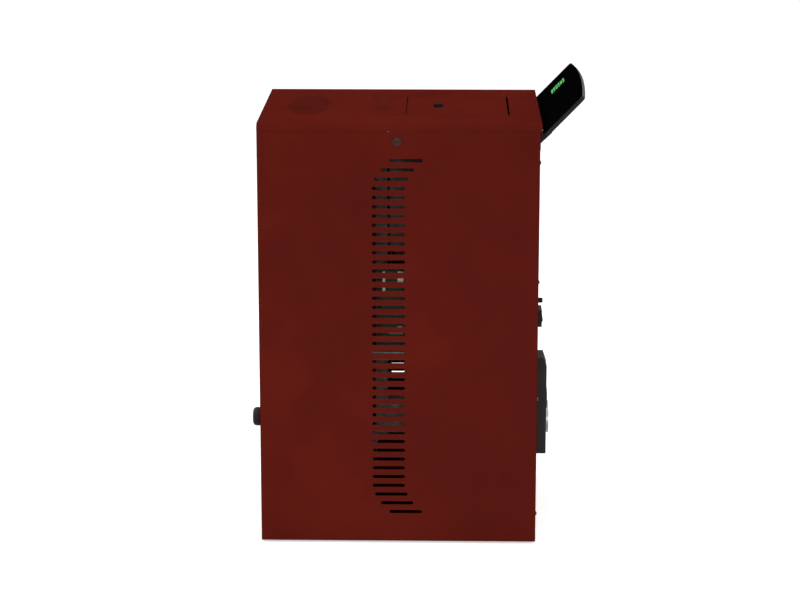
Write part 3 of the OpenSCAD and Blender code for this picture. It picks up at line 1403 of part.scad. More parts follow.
module wiring_loom() color("#b9b5aa") place() {
    cable(motor_cable);
    cable(panel_cable);
    cable(mains_cable);
}

base_tray();
frame();
right_side_panel();
left_side_panel();
rear_panel();
front_fascia();
top_cover();
rear_cover();
rear_screws();
hopper();
hopper_guard();
lid_hinges();
auger_tube();
gearmotor();
firebox_shell();
liner_plates();
brazier();
air_box();
igniter();
air_intake_pipe();
door_brackets();
heat_exchanger();
warm_air_duct();
outlet_hood();
room_fan_housing();
smoke_duct();
flue_fan_housing();
flue_spigot();
control_board();
board_connectors();
wiring_loom();
pressure_switch();
safety_thermostat();
mains_inlet();
panel_bracket();
panel_housing();
panel_glass();
panel_display();
hopper_lid();
lid_seal();
door_frame();
door_glass();
door_gasket();
glass_clips();
door_handle();
ash_pan();
drawer_front();
drawer_knob();
auger_screw();
flue_fan_wheel();
room_fan_wheel();
rocker_switch();
reset_button();
reset_cap();
right_panel_lock();
left_panel_lock();
foot_front_left();
foot_front_right();
foot_rear_left();
foot_rear_right();
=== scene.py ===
"""Pellet stove: finishes, sheet-metal covers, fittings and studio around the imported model."""

import json
import math

import bmesh
import bpy
from mathutils import Matrix, Vector

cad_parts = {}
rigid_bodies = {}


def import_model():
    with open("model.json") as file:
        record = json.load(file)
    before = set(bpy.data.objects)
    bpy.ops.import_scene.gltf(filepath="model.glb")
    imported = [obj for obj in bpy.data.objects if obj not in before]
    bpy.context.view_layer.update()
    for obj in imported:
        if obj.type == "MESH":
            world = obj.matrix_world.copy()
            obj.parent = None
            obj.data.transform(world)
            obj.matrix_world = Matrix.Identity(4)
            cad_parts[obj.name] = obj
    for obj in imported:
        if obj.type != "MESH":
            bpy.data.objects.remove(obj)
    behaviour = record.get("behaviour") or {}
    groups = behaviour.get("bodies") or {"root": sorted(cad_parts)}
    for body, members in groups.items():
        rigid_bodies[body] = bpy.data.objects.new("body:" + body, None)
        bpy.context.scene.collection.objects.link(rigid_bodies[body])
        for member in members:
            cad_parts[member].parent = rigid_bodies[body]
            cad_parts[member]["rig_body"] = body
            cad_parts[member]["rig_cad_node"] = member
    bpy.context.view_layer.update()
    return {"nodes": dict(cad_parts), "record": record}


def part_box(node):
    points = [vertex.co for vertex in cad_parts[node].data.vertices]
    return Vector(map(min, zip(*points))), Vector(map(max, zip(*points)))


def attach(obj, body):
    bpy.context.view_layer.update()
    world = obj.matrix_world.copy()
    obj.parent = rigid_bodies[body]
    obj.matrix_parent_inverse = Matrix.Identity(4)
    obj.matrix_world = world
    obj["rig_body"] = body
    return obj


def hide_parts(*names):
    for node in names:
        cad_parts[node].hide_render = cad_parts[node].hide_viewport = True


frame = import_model()
RECORD = frame["record"]
NODES = frame["nodes"]
MM = 0.001
SHEET = 1.5 * MM
AXES = {"x": 0, "y": 1, "z": 2}


# Colours and node helpers

def linear(hex_colour):
    """An sRGB hex colour as Blender's linear RGBA, fully opaque."""
    channels = []
    for start in (1, 3, 5):
        value = int(hex_colour[start:start + 2], 16) / 255
        channels.append(value / 12.92 if value <= 0.04045 else ((value + 0.055) / 1.055) ** 2.4)
    return (*channels, 1.0)


def socket_of(sockets, key):
    """A socket by its identifier, or else by its name."""
    for socket in sockets:
        if socket.identifier == key:
            return socket
    return sockets[key]


def add_node(tree, kind, settings=None, inputs=None, links=None):
    """Adds a node, sets its properties and inputs, and links named inputs from (node, output) pairs."""
    node = tree.nodes.new("ShaderNode" + kind)
    for key, value in (settings or {}).items():
        setattr(node, key, value)
    for key, value in (inputs or {}).items():
        socket_of(node.inputs, key).default_value = value
    for key, (source, output) in (links or {}).items():
        tree.links.new(socket_of(source.outputs, output), socket_of(node.inputs, key))
    return node


def object_coordinates(tree, scale=(1, 1, 1), turn=(0, 0, 0)):
    """Object coordinates in metres, scaled by the pattern's own scale."""
    place = add_node(tree, "TexCoord")
    return add_node(tree, "Mapping", inputs={"Scale": scale, "Rotation": turn},
                    links={"Vector": (place, "Object")})


def noise(tree, place, cell_mm, detail=3.0, roughness=0.5, distortion=0.0):
    """Noise whose features are about cell_mm across."""
    inputs = {"Scale": 1000 / cell_mm, "Detail": detail, "Roughness": roughness, "Distortion": distortion}
    return add_node(tree, "TexNoise", inputs=inputs, links={"Vector": (place, "Vector")})


def ramp(tree, source, output, stops):
    """A colour ramp over (position, hex colour) stops."""
    node = add_node(tree, "ValToRGB", links={"Fac": (source, output)})
    points = node.color_ramp.elements
    while len(points) < len(stops):
        points.new(0.5)
    for point, (position, colour) in zip(points, stops):
        point.position = position
        point.color = linear(colour)
    return node


def scaled(tree, source, output, low, high):
    """Maps a 0 to 1 value to the span from low to high."""
    return add_node(tree, "MapRange", inputs={"To Min": low, "To Max": high},
                    links={"Value": (source, output)})


def blend_colours(tree, amount, colour_a, colour_b, mode="MIX"):
    """Mixes two colours. Each is a (node, output) pair or a hex colour; amount is a pair or a number."""
    node = add_node(tree, "Mix", {"data_type": "RGBA", "blend_type": mode})
    for key, value in (("Factor_Float", amount), ("A_Color", colour_a), ("B_Color", colour_b)):
        target = socket_of(node.inputs, key)
        if isinstance(value, tuple):
            tree.links.new(socket_of(value[0].outputs, value[1]), target)
        else:
            target.default_value = linear(value) if isinstance(value, str) else value
    return node


def bump(tree, source, output, height_mm, strength=1.0, under=None):
    """Relief height_mm deep, laid over the normals of the node under it."""
    links = {"Height": (source, output)}
    if under:
        links["Normal"] = (under, "Normal")
    return add_node(tree, "Bump", inputs={"Distance": height_mm * MM, "Strength": strength}, links=links)


def rounded_edges(tree, radius_mm):
    """Normals that turn softly over an edge, as on pressed or moulded parts."""
    return add_node(tree, "Bevel", {"samples": 6}, {"Radius": radius_mm * MM})


def new_material(name):
    """A new material with its node tree and its shader."""
    material = bpy.data.materials.new(name)
    material.use_nodes = True
    tree = material.node_tree
    shader = tree.nodes["Principled BSDF"]
    return material, tree, shader


def join(tree, shader, **links):
    """Links (node, output) pairs to the shader's inputs; an underscore stands for a space."""
    for key, (source, output) in links.items():
        tree.links.new(socket_of(source.outputs, output), shader.inputs[key.replace("_", " ")])


# Materials, each named for what the real one is

def powder_coat():
    """Polyester powder coat on sheet steel: matt dark red, with a fine orange peel and a paler, worn edge."""
    material, tree, shader = new_material("powder_coated_steel")
    place = object_coordinates(tree)
    cloud = noise(tree, place, 180, 2)
    colour = ramp(tree, cloud, "Fac", [(0.3, "#521712"), (0.7, "#5c1b13")])
    # Orange peel of real powder is about 1.5 mm; drawn at 3 mm so that it shows
    peel = noise(tree, place, 3.0, 2)
    grain = noise(tree, place, 0.9, 1)
    speck = ramp(tree, grain, "Fac", [(0.35, "#8c8c8c"), (0.65, "#ffffff")])
    tinted = blend_colours(tree, 0.16, (colour, "Color"), (speck, "Color"), "MULTIPLY")
    edge = rounded_edges(tree, 1.2)
    true = add_node(tree, "NewGeometry")
    turn = add_node(tree, "VectorMath", {"operation": "DOT_PRODUCT"},
                    links={"Vector": (edge, "Normal"), "Vector_001": (true, "Normal")})
    wear_span = {"From Min": 0.98, "From Max": 0.8, "To Min": 0.0, "To Max": 0.35}
    wear = add_node(tree, "MapRange", inputs=wear_span, links={"Value": (turn, "Value")})
    worn = blend_colours(tree, (wear, "Result"), (tinted, "Result_Color"), "#7c3a30")
    rough = scaled(tree, peel, "Fac", 0.46, 0.58)
    surface = bump(tree, peel, "Fac", 0.05, 0.5, edge)
    join(tree, shader, Base_Color=(worn, "Result_Color"), Roughness=(rough, "Result"),
         Normal=(surface, "Normal"))
    shader.inputs["Specular IOR Level"].default_value = 0.0
    return material


def galvanised():
    """Hot-dip galvanised sheet: crystals 9 mm across, each with its own grey and gloss, all drawn dark as
    painted shade of the unlit inside, with a faint mottle of dust.
    """
    material, tree, shader = new_material("galvanised_sheet")
    place = object_coordinates(tree)
    warp = noise(tree, place, 6, 2)
    bent = blend_colours(tree, 0.006, (place, "Vector"), (warp, "Color"))
    crystal_mm = 9
    crystal = add_node(tree, "TexVoronoi", inputs={"Scale": 1000 / crystal_mm, "Randomness": 1.0},
                       links={"Vector": (bent, "Result_Color")})
    # Greys kept dark: painted shade, as these sheets stand in the unlit inside of the casing
    tone = ramp(tree, crystal, "Color", [(0.1, "#393a3a"), (0.5, "#464747"), (0.9, "#585857")])
    rough = add_node(tree, "SeparateColor", links={"Color": (crystal, "Color")})
    rough = scaled(tree, rough, "Red", 0.42, 0.58)
    dust = noise(tree, place, 60, 3)
    dull = ramp(tree, dust, "Fac", [(0.35, "#d8d6d2"), (0.7, "#ffffff")])
    colour = blend_colours(tree, 0.6, (tone, "Color"), (dull, "Color"), "MULTIPLY")
    join(tree, shader, Base_Color=(colour, "Result_Color"), Roughness=(rough, "Result"),
         Normal=(rounded_edges(tree, 0.8), "Normal"))
    shader.inputs["Metallic"].default_value = 0.6
    return material


def heatproof_paint():
    """Silicone heat-proof paint on steel plate: matt charcoal with a fine sprayed grain."""
    material, tree, shader = new_material("heatproof_paint")
    place = object_coordinates(tree)
    cloud = noise(tree, place, 70, 3)
    colour = ramp(tree, cloud, "Fac", [(0.3, "#252224"), (0.7, "#2e2a2b")])
    grain = noise(tree, place, 1.2, 2)
    rough = scaled(tree, cloud, "Fac", 0.58, 0.74)
    surface = bump(tree, grain, "Fac", 0.06, 0.6, rounded_edges(tree, 0.9))
    join(tree, shader, Base_Color=(colour, "Color"), Roughness=(rough, "Result"), Normal=(surface, "Normal"))
    shader.inputs["Specular IOR Level"].default_value = 0.15
    return material


def sand_cast_iron():
    """Sand-cast iron under stove paint: matt black with a pebbled skin about 2 mm in grain."""
    material, tree, shader = new_material("sand_cast_iron")
    place = object_coordinates(tree)
    pebble_mm = 2.2
    pebble = add_node(tree, "TexVoronoi", {"feature": "SMOOTH_F1"},
                      {"Scale": 1000 / pebble_mm, "Smoothness": 1.0}, {"Vector": (place, "Vector")})
    cloud = noise(tree, place, 45, 4)
    colour = ramp(tree, cloud, "Fac", [(0.3, "#1b1a1b"), (0.7, "#272627")])
    rough = scaled(tree, cloud, "Fac", 0.5, 0.7)
    soft = bump(tree, noise(tree, place, 7, 3), "Fac", 0.25, 0.4, rounded_edges(tree, 1.5))
    surface = bump(tree, pebble, "Distance", 0.18, 0.5, soft)
    join(tree, shader, Base_Color=(colour, "Color"), Roughness=(rough, "Result"), Normal=(surface, "Normal"))
    return material


def vermiculite():
    """Pressed vermiculite board: sandy and flaky, darkened by soot in soft clouds."""
    material, tree, shader = new_material("vermiculite_board")
    place = object_coordinates(tree)
    flake_mm = 3.5
    flake = add_node(tree, "TexVoronoi", {}, {"Scale": 1000 / flake_mm}, {"Vector": (place, "Vector")})
    tone = ramp(tree, flake, "Color", [(0.1, "#8d7a5e"), (0.5, "#b3a07f"), (0.9, "#cdbd9c")])
    soot = noise(tree, place, 160, 5, 0.6)
    smoke = ramp(tree, soot, "Fac", [(0.38, "#2b2723"), (0.66, "#b9b0a2")])
    colour = blend_colours(tree, 0.85, (tone, "Color"), (smoke, "Color"), "MULTIPLY")
    surface = bump(tree, flake, "Distance", 0.4, 0.7, rounded_edges(tree, 1.5))
    join(tree, shader, Base_Color=(colour, "Result_Color"), Normal=(surface, "Normal"))
    shader.inputs["Roughness"].default_value = 0.93
    return material


def ceramic_glass():
    """Transparent glass-ceramic: faint amber tint, polished, with a thin haze of soot."""
    material, tree, shader = new_material("glass_ceramic")
    place = object_coordinates(tree)
    haze = noise(tree, place, 120, 4)
    alpha = scaled(tree, haze, "Fac", 0.30, 0.46)
    rough = scaled(tree, haze, "Fac", 0.02, 0.09)
    join(tree, shader, Alpha=(alpha, "Result"), Roughness=(rough, "Result"))
    shader.inputs["Base Color"].default_value = linear("#17110c")
    shader.inputs["IOR"].default_value = 1.54
    return material


def black_glass():
    """Back-printed black glass with an anti-glare etch, so that it stays black when seen along its face."""
    material, tree, shader = new_material("etched_black_glass")
    place = object_coordinates(tree)
    etch = noise(tree, place, 0.8, 1)
    rough = scaled(tree, etch, "Fac", 0.36, 0.44)
    join(tree, shader, Roughness=(rough, "Result"), Normal=(rounded_edges(tree, 0.5), "Normal"))
    shader.inputs["Base Color"].default_value = linear("#040405")
    shader.inputs["Specular IOR Level"].default_value = 0.0
    return material


def moulded_plastic(name, low, high, grain_mm=0.9, depth_mm=0.05, shine=0.5):
    """Injection-moulded plastic: matt, with a spark-eroded grain; shine is its specular level."""
    material, tree, shader = new_material(name)
    place = object_coordinates(tree)
    cloud = noise(tree, place, 25, 3)
    colour = ramp(tree, cloud, "Fac", [(0.3, low), (0.7, high)])
    grain = noise(tree, place, grain_mm, 2)
    rough = scaled(tree, grain, "Fac", 0.46, 0.62)
    surface = bump(tree, grain, "Fac", depth_mm, 0.6, rounded_edges(tree, 0.7))
    join(tree, shader, Base_Color=(colour, "Color"), Roughness=(rough, "Result"), Normal=(surface, "Normal"))
    shader.inputs["Specular IOR Level"].default_value = shine
    return material


def display_film():
    """Unlit liquid-crystal film: matt and near black, with a trace of green."""
    material, tree, shader = new_material("display_film")
    place = object_coordinates(tree)
    film = noise(tree, place, 0.6, 1)
    colour = ramp(tree, film, "Fac", [(0.3, "#060a07"), (0.7, "#0a110b")])
    join(tree, shader, Base_Color=(colour, "Color"))
    shader.inputs["Roughness"].default_value = 0.4
    shader.inputs["Specular IOR Level"].default_value = 0.0
    return material


def lit_segment():
    """Backlit display segment: even green light."""
    material, tree, shader = new_material("lit_display_segment")
    place = object_coordinates(tree)
    glow = noise(tree, place, 1.5, 1)
    colour = ramp(tree, glow, "Fac", [(0.3, "#399440"), (0.7, "#4bae50")])
    join(tree, shader, Base_Color=(colour, "Color"), Emission_Color=(colour, "Color"))
    shader.inputs["Emission Strength"].default_value = 1.0
    return material


def glossy_red():
    """Moulded acetal push button: bright and smooth."""
    material, tree, shader = new_material("red_acetal")
    place = object_coordinates(tree)
    colour = ramp(tree, noise(tree, place, 3, 2), "Fac", [(0.3, "#96201a"), (0.7, "#a82920")])
    join(tree, shader, Base_Color=(colour, "Color"), Normal=(rounded_edges(tree, 0.4), "Normal"))
    shader.inputs["Roughness"].default_value = 0.28
    return material


def knitted_rope():
    """Knitted glass-fibre rope: grey, with slanting stitches drawn 7 mm apart, coarse enough to show, and
    painted shade darkening the grooves between them.
    """
    material, tree, shader = new_material("knitted_glass_rope")
    place = object_coordinates(tree)
    # A diagonal wave comes back every 0.363 of its scaled place
    stitch_mm, wave_period = 6.86, 0.363
    stitch = add_node(tree, "TexWave", {"bands_direction": "DIAGONAL"},
                      {"Scale": 1000 * wave_period / stitch_mm, "Distortion": 6.0, "Detail": 2.0,
                       "Detail Scale": 3.0}, {"Vector": (place, "Vector")})
    # Painted shade: the grey follows the stitch relief, darkest in its grooves and palest on its crests
    tone = ramp(tree, stitch, "Fac", [(0.1, "#4b4844"), (0.6, "#85817a"), (0.95, "#a5a199")])
    surface = bump(tree, stitch, "Fac", 0.8, 0.8)
    join(tree, shader, Base_Color=(tone, "Color"), Normal=(surface, "Normal"))
    shader.inputs["Roughness"].default_value = 0.95
    shader.inputs["Sheen Weight"].default_value = 0.3
    return material


def sponge_seal():
    """Silicone sponge strip: matt black with open pores, drawn darker inside as painted shade."""
    material, tree, shader = new_material("silicone_sponge")
    place = object_coordinates(tree)
    pore_mm = 1.4
    pore = add_node(tree, "TexVoronoi", inputs={"Scale": 1000 / pore_mm}, links={"Vector": (place, "Vector")})
    # Painted shade: darkest at each pore's deepest point, where the relief below is lowest
    tone = ramp(tree, pore, "Distance", [(0.1, "#161616"), (0.6, "#2a2a2a")])
    surface = bump(tree, pore, "Distance", 0.25, 0.6)
    join(tree, shader, Base_Color=(tone, "Color"), Normal=(surface, "Normal"))
    shader.inputs["Roughness"].default_value = 0.88
    return material


def bakelite():
    """Compression-moulded phenolic: near-black brown, faintly mottled, with a soft gloss."""
    material, tree, shader = new_material("phenolic_moulding")
    place = object_coordinates(tree)
    mottle = noise(tree, place, 6, 4, 0.6, 1.0)
    colour = ramp(tree, mottle, "Fac", [(0.35, "#171112"), (0.7, "#2a1d1c")])
    rough = scaled(tree, mottle, "Fac", 0.36, 0.48)
    join(tree, shader, Base_Color=(colour, "Color"), Roughness=(rough, "Result"))
    shader.inputs["Specular IOR Level"].default_value = 0.2
    return material


def zinc_plate():
    """Bright zinc-plated steel: bluish silver with faint passivation clouds and rolling lines."""
    material, tree, shader = new_material("zinc_plated_steel")
    place = object_coordinates(tree)
    cloud = noise(tree, place, 14, 3)
    colour = ramp(tree, cloud, "Fac", [(0.3, "#8e9194"), (0.55, "#a5a6a4"), (0.8, "#b4b0a2")])
    line = noise(tree, object_coordinates(tree, (1, 1, 0.04)), 0.8, 2)
    rough = scaled(tree, line, "Fac", 0.24, 0.42)
    join(tree, shader, Base_Color=(colour, "Color"), Roughness=(rough, "Result"),
         Normal=(rounded_edges(tree, 0.5), "Normal"))
    shader.inputs["Metallic"].default_value = 1.0
    return material


def stainless_tube():
    """Drawn stainless tube: cool silver with fine lines along its length."""
    material, tree, shader = new_material("drawn_stainless")
    place = object_coordinates(tree, (1, 0.03, 1))
    line = noise(tree, place, 0.9, 3)
    colour = ramp(tree, line, "Fac", [(0.3, "#a8a9aa"), (0.7, "#c6c7c7")])
    rough = scaled(tree, line, "Fac", 0.2, 0.38)
    join(tree, shader, Base_Color=(colour, "Color"), Roughness=(rough, "Result"),
         Normal=(rounded_edges(tree, 0.5), "Normal"))
    shader.inputs["Metallic"].default_value = 1.0
    return material


def circuit_board():
    """Glass-epoxy board: copper fields 4.5 mm long under green solder mask, and a solder dot every 5 mm."""
    material, tree, shader = new_material("glass_epoxy_board")
    place = object_coordinates(tree)
    # A brick is half as long as the pattern's unit, and a quarter as high
    unit_mm, solder_mm = 9, 5
    upright = object_coordinates(tree, (1, 1, 1), (0, math.pi / 2, 0))
    mask = {"Color1": linear("#12391f"), "Color2": linear("#174427"), "Mortar": linear("#0a2414")}
    field = add_node(tree, "TexBrick", {},
                     {**mask, "Scale": 1000 / unit_mm, "Mortar Size": 0.09, "Bias": 0.0},
                     {"Vector": (upright, "Vector")})
    solder = add_node(tree, "TexVoronoi", {}, {"Scale": 1000 / solder_mm}, {"Vector": (place, "Vector")})
    pad = ramp(tree, solder, "Distance", [(0.10, "#ffffff"), (0.13, "#000000")])
    colour = blend_colours(tree, (pad, "Color"), (field, "Color"), "#8b8e8a")
    join(tree, shader, Base_Color=(colour, "Result_Color"))
    shader.inputs["Roughness"].default_value = 0.45
    return material


def cable_sleeve():
    """Silicone-sleeved wire: beige grey and slightly cloudy."""
    material, tree, shader = new_material("silicone_sleeve")
    place = object_coordinates(tree)
    line = noise(tree, place, 4, 3)
    colour = ramp(tree, line, "Fac", [(0.3, "#8f8a7c"), (0.7, "#aaa596")])
    join(tree, shader, Base_Color=(colour, "Color"))
    shader.inputs["Roughness"].default_value = 0.6
    return material


def screw_paint():
    """Powder coat over a screw head: redder and lighter than the casing's, in soft random clouds."""
    material, tree, shader = new_material("painted_screw_head")
    place = object_coordinates(tree)
    cloud = noise(tree, place, 2.5, 3)
    colour = ramp(tree, cloud, "Fac", [(0.3, "#6a251c"), (0.7, "#8a4232")])
    join(tree, shader, Base_Color=(colour, "Color"), Normal=(rounded_edges(tree, 0.4), "Normal"))
    shader.inputs["Roughness"].default_value = 0.42
    return material


def lock_finish():
    """Lock head in dull brown-grey paint, with soft edges."""
    material, tree, shader = new_material("painted_lock_head")
    place = object_coordinates(tree)
    cloud = noise(tree, place, 4, 4)
    colour = ramp(tree, cloud, "Fac", [(0.3, "#35201d"), (0.7, "#462c28")])
    join(tree, shader, Base_Color=(colour, "Color"), Normal=(rounded_edges(tree, 0.6), "Normal"))
    shader.inputs["Roughness"].default_value = 0.55
    shader.inputs["Specular IOR Level"].default_value = 0.1
    return material


FINISH = {
    "red_paint": powder_coat(),
    "galvanised_steel": galvanised(),
    "black_steel": heatproof_paint(),
    "cast_iron": sand_cast_iron(),
    "liner_board": vermiculite(),
    "ceramic_glass": ceramic_glass(),
    "black_glass": black_glass(),
    "display": display_film(),
    "black_plastic": moulded_plastic("black_abs", "#1c1a1b", "#252223", shine=0.12),
    "red_plastic": glossy_red(),
    "rope_seal": knitted_rope(),
    "silicone": sponge_seal(),
    "dark_enamel": bakelite(),
    "steel": zinc_plate(),
    "stainless": stainless_tube(),
    "circuit_board": circuit_board(),
    "white_nylon": moulded_plastic("white_nylon", "#d6d2c6", "#e4e1d7", 1.2, 0.02),
    "cable": cable_sleeve(),
    "painted_screw": screw_paint(),
    "lock_metal": lock_finish(),
}
SEGMENT = lit_segment()
SLOT_OF = {part["node"]: part["material_slot"] for part in RECORD["subparts"]}

for name, node in NODES.items():
    node.data.materials.clear()
    node.data.materials.append(FINISH[SLOT_OF[name]])


# Modelling helpers

def deselect():
    """Back to object mode with nothing selected."""
    if bpy.context.mode != "OBJECT":
        bpy.ops.object.mode_set(mode="OBJECT")
    bpy.ops.object.select_all(action="DESELECT")


def activate(piece):
    deselect()
    piece.select_set(True)
    bpy.context.view_layer.objects.active = piece


def settle(piece):
    """Puts the object's place and size into its mesh."""
    activate(piece)
    bpy.ops.object.transform_apply(location=True, rotation=True, scale=True)
    return piece


def block(name, low, high):
    low, high = Vector(low), Vector(high)
    deselect()
    bpy.ops.mesh.primitive_cube_add(size=1, location=(low + high) / 2)
    piece = bpy.context.object
    piece.name = name
    piece.scale = high - low
    return settle(piece)


def rod(name, start, end, radius, sides=32):
    """A cylinder from start to end."""
    start, end = Vector(start), Vector(end)
    deselect()
    aim = (end - start).to_track_quat("Z", "Y")
    bpy.ops.mesh.primitive_cylinder_add(vertices=sides, radius=radius, depth=(end - start).length,
                                        location=(start + end) / 2, rotation=aim.to_euler())
    piece = bpy.context.object
    piece.name = name
    return settle(piece)


def edit(piece, kind="EDGE"):
    """Edit mode on one piece, with nothing of it selected."""
    activate(piece)
    bpy.ops.object.mode_set(mode="EDIT")
    bpy.ops.mesh.select_mode(type=kind)
    bpy.ops.mesh.select_all(action="DESELECT")


def pick_edges(piece, test):
    """Selects the edges for which test(middle, direction) holds."""
    mesh = bmesh.from_edit_mesh(piece.data)
    count = 0
    for item in mesh.edges:
        low, high = (vertex.co for vertex in item.verts)
        chosen = bool(test((low + high) / 2, (high - low).normalized()))
        item.select_set(chosen)
        count += chosen
    bmesh.update_edit_mesh(piece.data)
    return count


def pick_faces(piece, test):
    """Selects the faces for which test(middle, normal) holds."""
    mesh = bmesh.from_edit_mesh(piece.data)
    count = 0
    for item in mesh.faces:
        chosen = bool(test(item.calc_center_median(), item.normal))
        item.select_set(chosen)
        count += chosen
    bmesh.update_edit_mesh(piece.data)
    return count


def leave_edit():
    bpy.ops.object.mode_set(mode="OBJECT")


def round_off(piece, width, segments, test):
    """Rounds the edges that test picks."""
    edit(piece)
    if pick_edges(piece, test):
        bpy.ops.mesh.bevel(offset=width, segments=segments, affect="EDGES")
    leave_edit()
    return piece


def apply_modifier(piece, kind, **settings):
    activate(piece)
    modifier = piece.modifiers.new(kind.title(), kind)
    for key, value in settings.items():
        setattr(modifier, key, value)
    bpy.ops.object.modifier_apply(modifier=modifier.name)
    return piece


def soften(piece, width_mm=0.4, segments=2, angle=40):
    """Small rounds on every sharp edge, then smooth shading."""
    if width_mm:
        apply_modifier(piece, "BEVEL", width=width_mm * MM, segments=segments, limit_method="ANGLE",
                       angle_limit=math.radians(angle), use_clamp_overlap=True)
    activate(piece)
    bpy.ops.object.shade_smooth_by_angle(angle=math.radians(32))
    return apply_modifier(piece, "WEIGHTED_NORMAL", mode="FACE_AREA", keep_sharp=True)


def merge(pieces, name):
    """Joins pieces into the first one."""
    activate(pieces[0])
    for piece in pieces:
        piece.select_set(True)
    bpy.context.view_layer.objects.active = pieces[0]
    if len(pieces) > 1:
        bpy.ops.object.join()
    piece = bpy.context.object
    piece.name = name
    return piece


def cut(piece, tools, operation="DIFFERENCE"):
    """Cuts the tools out of a piece, or joins them to it as one solid."""
    for tool in tools:
        apply_modifier(piece, "BOOLEAN", object=tool, operation=operation, solver="EXACT", use_self=False)
    deselect()
    for tool in tools:
        bpy.data.objects.remove(tool)
    return piece


def copied(piece, name, matrix=None, move=None):
    """A copy with its own mesh, moved by a matrix or an offset."""
    twin = piece.copy()
    twin.data = piece.data.copy()
    twin.name = name
    bpy.context.scene.collection.objects.link(twin)
    if move is not None:
        matrix = Matrix.Translation(Vector(move))
    if matrix is not None:
        twin.data.transform(matrix)
        if matrix.determinant() < 0:
            twin.data.flip_normals()
    return twin


def folded(name, low, high, missing, bends, sheet=SHEET):
    """A folded sheet: a box without the faces in missing, with a bend radius by edge direction."""
    piece = block(name, low, high)
    low, high = Vector(low), Vector(high)

    def on_face(point, face):
        axis = AXES[face[1]]
        side = high if face[0] == "+" else low
        return abs(point[axis] - side[axis]) < 1e-6

    for direction, radius in bends.items():
        axis = AXES[direction]
        segments = 10 if radius > 8 * MM else 4

        def bend_here(middle, run):
            if abs(abs(run[axis]) - 1) > 1e-3:
                return False
            return not any(on_face(middle, face) for face in missing)

        round_off(piece, radius, segments, bend_here)
    edit(piece, "FACE")
    for face in missing:
        axis = AXES[face[1]]
        sign = 1 if face[0] == "+" else -1
        if pick_faces(piece, lambda middle, normal: on_face(middle, face) and normal[axis] * sign > 0.99):
            bpy.ops.mesh.delete(type="FACE")
    leave_edit()
    return apply_modifier(piece, "SOLIDIFY", thickness=sheet, offset=-1.0, use_even_offset=True)


def stadium(name, low, high, axis):
    """A solid slot with round ends, cut along an axis; its long side is the longer of the other two."""
    piece = block(name, low, high)
    size = Vector(high) - Vector(low)
    others = [i for i in range(3) if i != AXES[axis]]
    width = min(size[i] for i in others)
    return round_off(piece, width * 0.4999, 6, lambda middle, run: abs(abs(run[AXES[axis]]) - 1) < 1e-3)


def turned(name, profile, base, axis, sides=48):
    """A closed body turned on a lathe: profile is (radius, height) in mm from base along axis."""
    deselect()
    radius, height = profile[0]
    bpy.ops.mesh.primitive_circle_add(vertices=sides, radius=radius * MM, fill_type="NOTHING",
                                      location=(0, 0, height * MM))
    piece = bpy.context.object
    piece.name = name
    settle(piece)
    bpy.ops.object.mode_set(mode="EDIT")
    bpy.ops.mesh.select_mode(type="EDGE")
    bpy.ops.mesh.select_all(action="SELECT")
    for next_radius, next_height in profile[1:]:
        rise = (0, 0, (next_height - height) * MM)
        bpy.ops.mesh.extrude_region_move(TRANSFORM_OT_translate={"value": rise})
        share = next_radius / radius
        bpy.ops.transform.resize(value=(share, share, 1), center_override=(0, 0, next_height * MM))
        radius, height = next_radius, next_height
    bpy.ops.mesh.select_all(action="SELECT")
    bpy.ops.mesh.fill_holes(sides=0)
    bpy.ops.mesh.select_all(action="SELECT")
    bpy.ops.mesh.normals_make_consistent(inside=False)
    leave_edit()
    piece.rotation_mode = "QUATERNION"
    piece.rotation_quaternion = Vector(axis).to_track_quat("Z", "Y")
    piece.location = base
    return settle(piece)


def dress(piece, body, slot, replaced=(), material=None):
    """Gives a finished piece its material, picked by its record slot unless one is given, and its body, and
    hides the CAD nodes that it stands for.
    """
    piece.data.materials.clear()
    piece.data.materials.append(material or FINISH[slot])
    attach(piece, body)
    if replaced:
        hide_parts(*replaced)
    return piece


def refined(node, width_mm=0.4, segments=2, angle=40):
    """A copy of a CAD node with merged corners, rounded edges and smooth curves."""
    piece = copied(NODES[node], node + "_finish")
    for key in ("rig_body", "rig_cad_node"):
        if key in piece:
            del piece[key]
    piece.parent = None
    edit(piece, "FACE")
    bpy.ops.mesh.select_all(action="SELECT")
    bpy.ops.mesh.remove_doubles(threshold=1e-5)
    bpy.ops.mesh.dissolve_limited(angle_limit=math.radians(1.0))
    leave_edit()
    soften(piece, width_mm, segments, angle)
    return dress(piece, BODY_OF[node], SLOT_OF[node], [node])


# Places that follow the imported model

SIDE_LOW, SIDE_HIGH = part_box("right_side_panel")
FRONT, REAR = SIDE_LOW.y, SIDE_HIGH.y
HALF = SIDE_HIGH.x
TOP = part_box("top_cover")[1].z
BODY_OF = {node: body for body, nodes in RECORD["behaviour"]["bodies"].items() for node in nodes}


def at(x, y, z):
    """A point in mm: x from the middle, y back from the casing's front edge, z up from the floor."""
    return Vector((x * MM, FRONT + y * MM, z * MM))


def in_mm(value):
    return value / MM


# Casing sheets

def repeated(piece, name, moves):
    """Copies a piece to each move and joins the copies into one."""
    copies = [copied(piece, name, move=move) for move in moves]
    bpy.data.objects.remove(piece)
    return merge(copies, name)


def side_slot_tool():
    """Forty slots in a column whose two ends sweep rearwards."""
    count, length, height, pitch = 40, 76, 8, 21.5
    start, rise = 262, 3
    sweep = {0: 40, 1: 20, 2: 6}
    middle = in_mm(SIDE_LOW.z + SIDE_HIGH.z) / 2 + rise
    half, reach = in_mm(HALF), 6
    slot = stadium("slot", at(half - reach, start, -height / 2),
                   at(half + reach, start + length, height / 2), "x")
    moves = []
    for i in range(count):
        back = sweep.get(min(i, count - 1 - i), 0)
        moves.append((0, back * MM, (middle + (i - (count - 1) / 2) * pitch) * MM))
    return repeated(slot, "side_slots", moves)


def lock_place():
    """Middle of the right panel lock's head and its face."""
    low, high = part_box("right_panel_lock")
    radius = (high.y - low.y) / 2
    return Vector((high.x, (low.y + high.y) / 2, high.z - radius)), radius


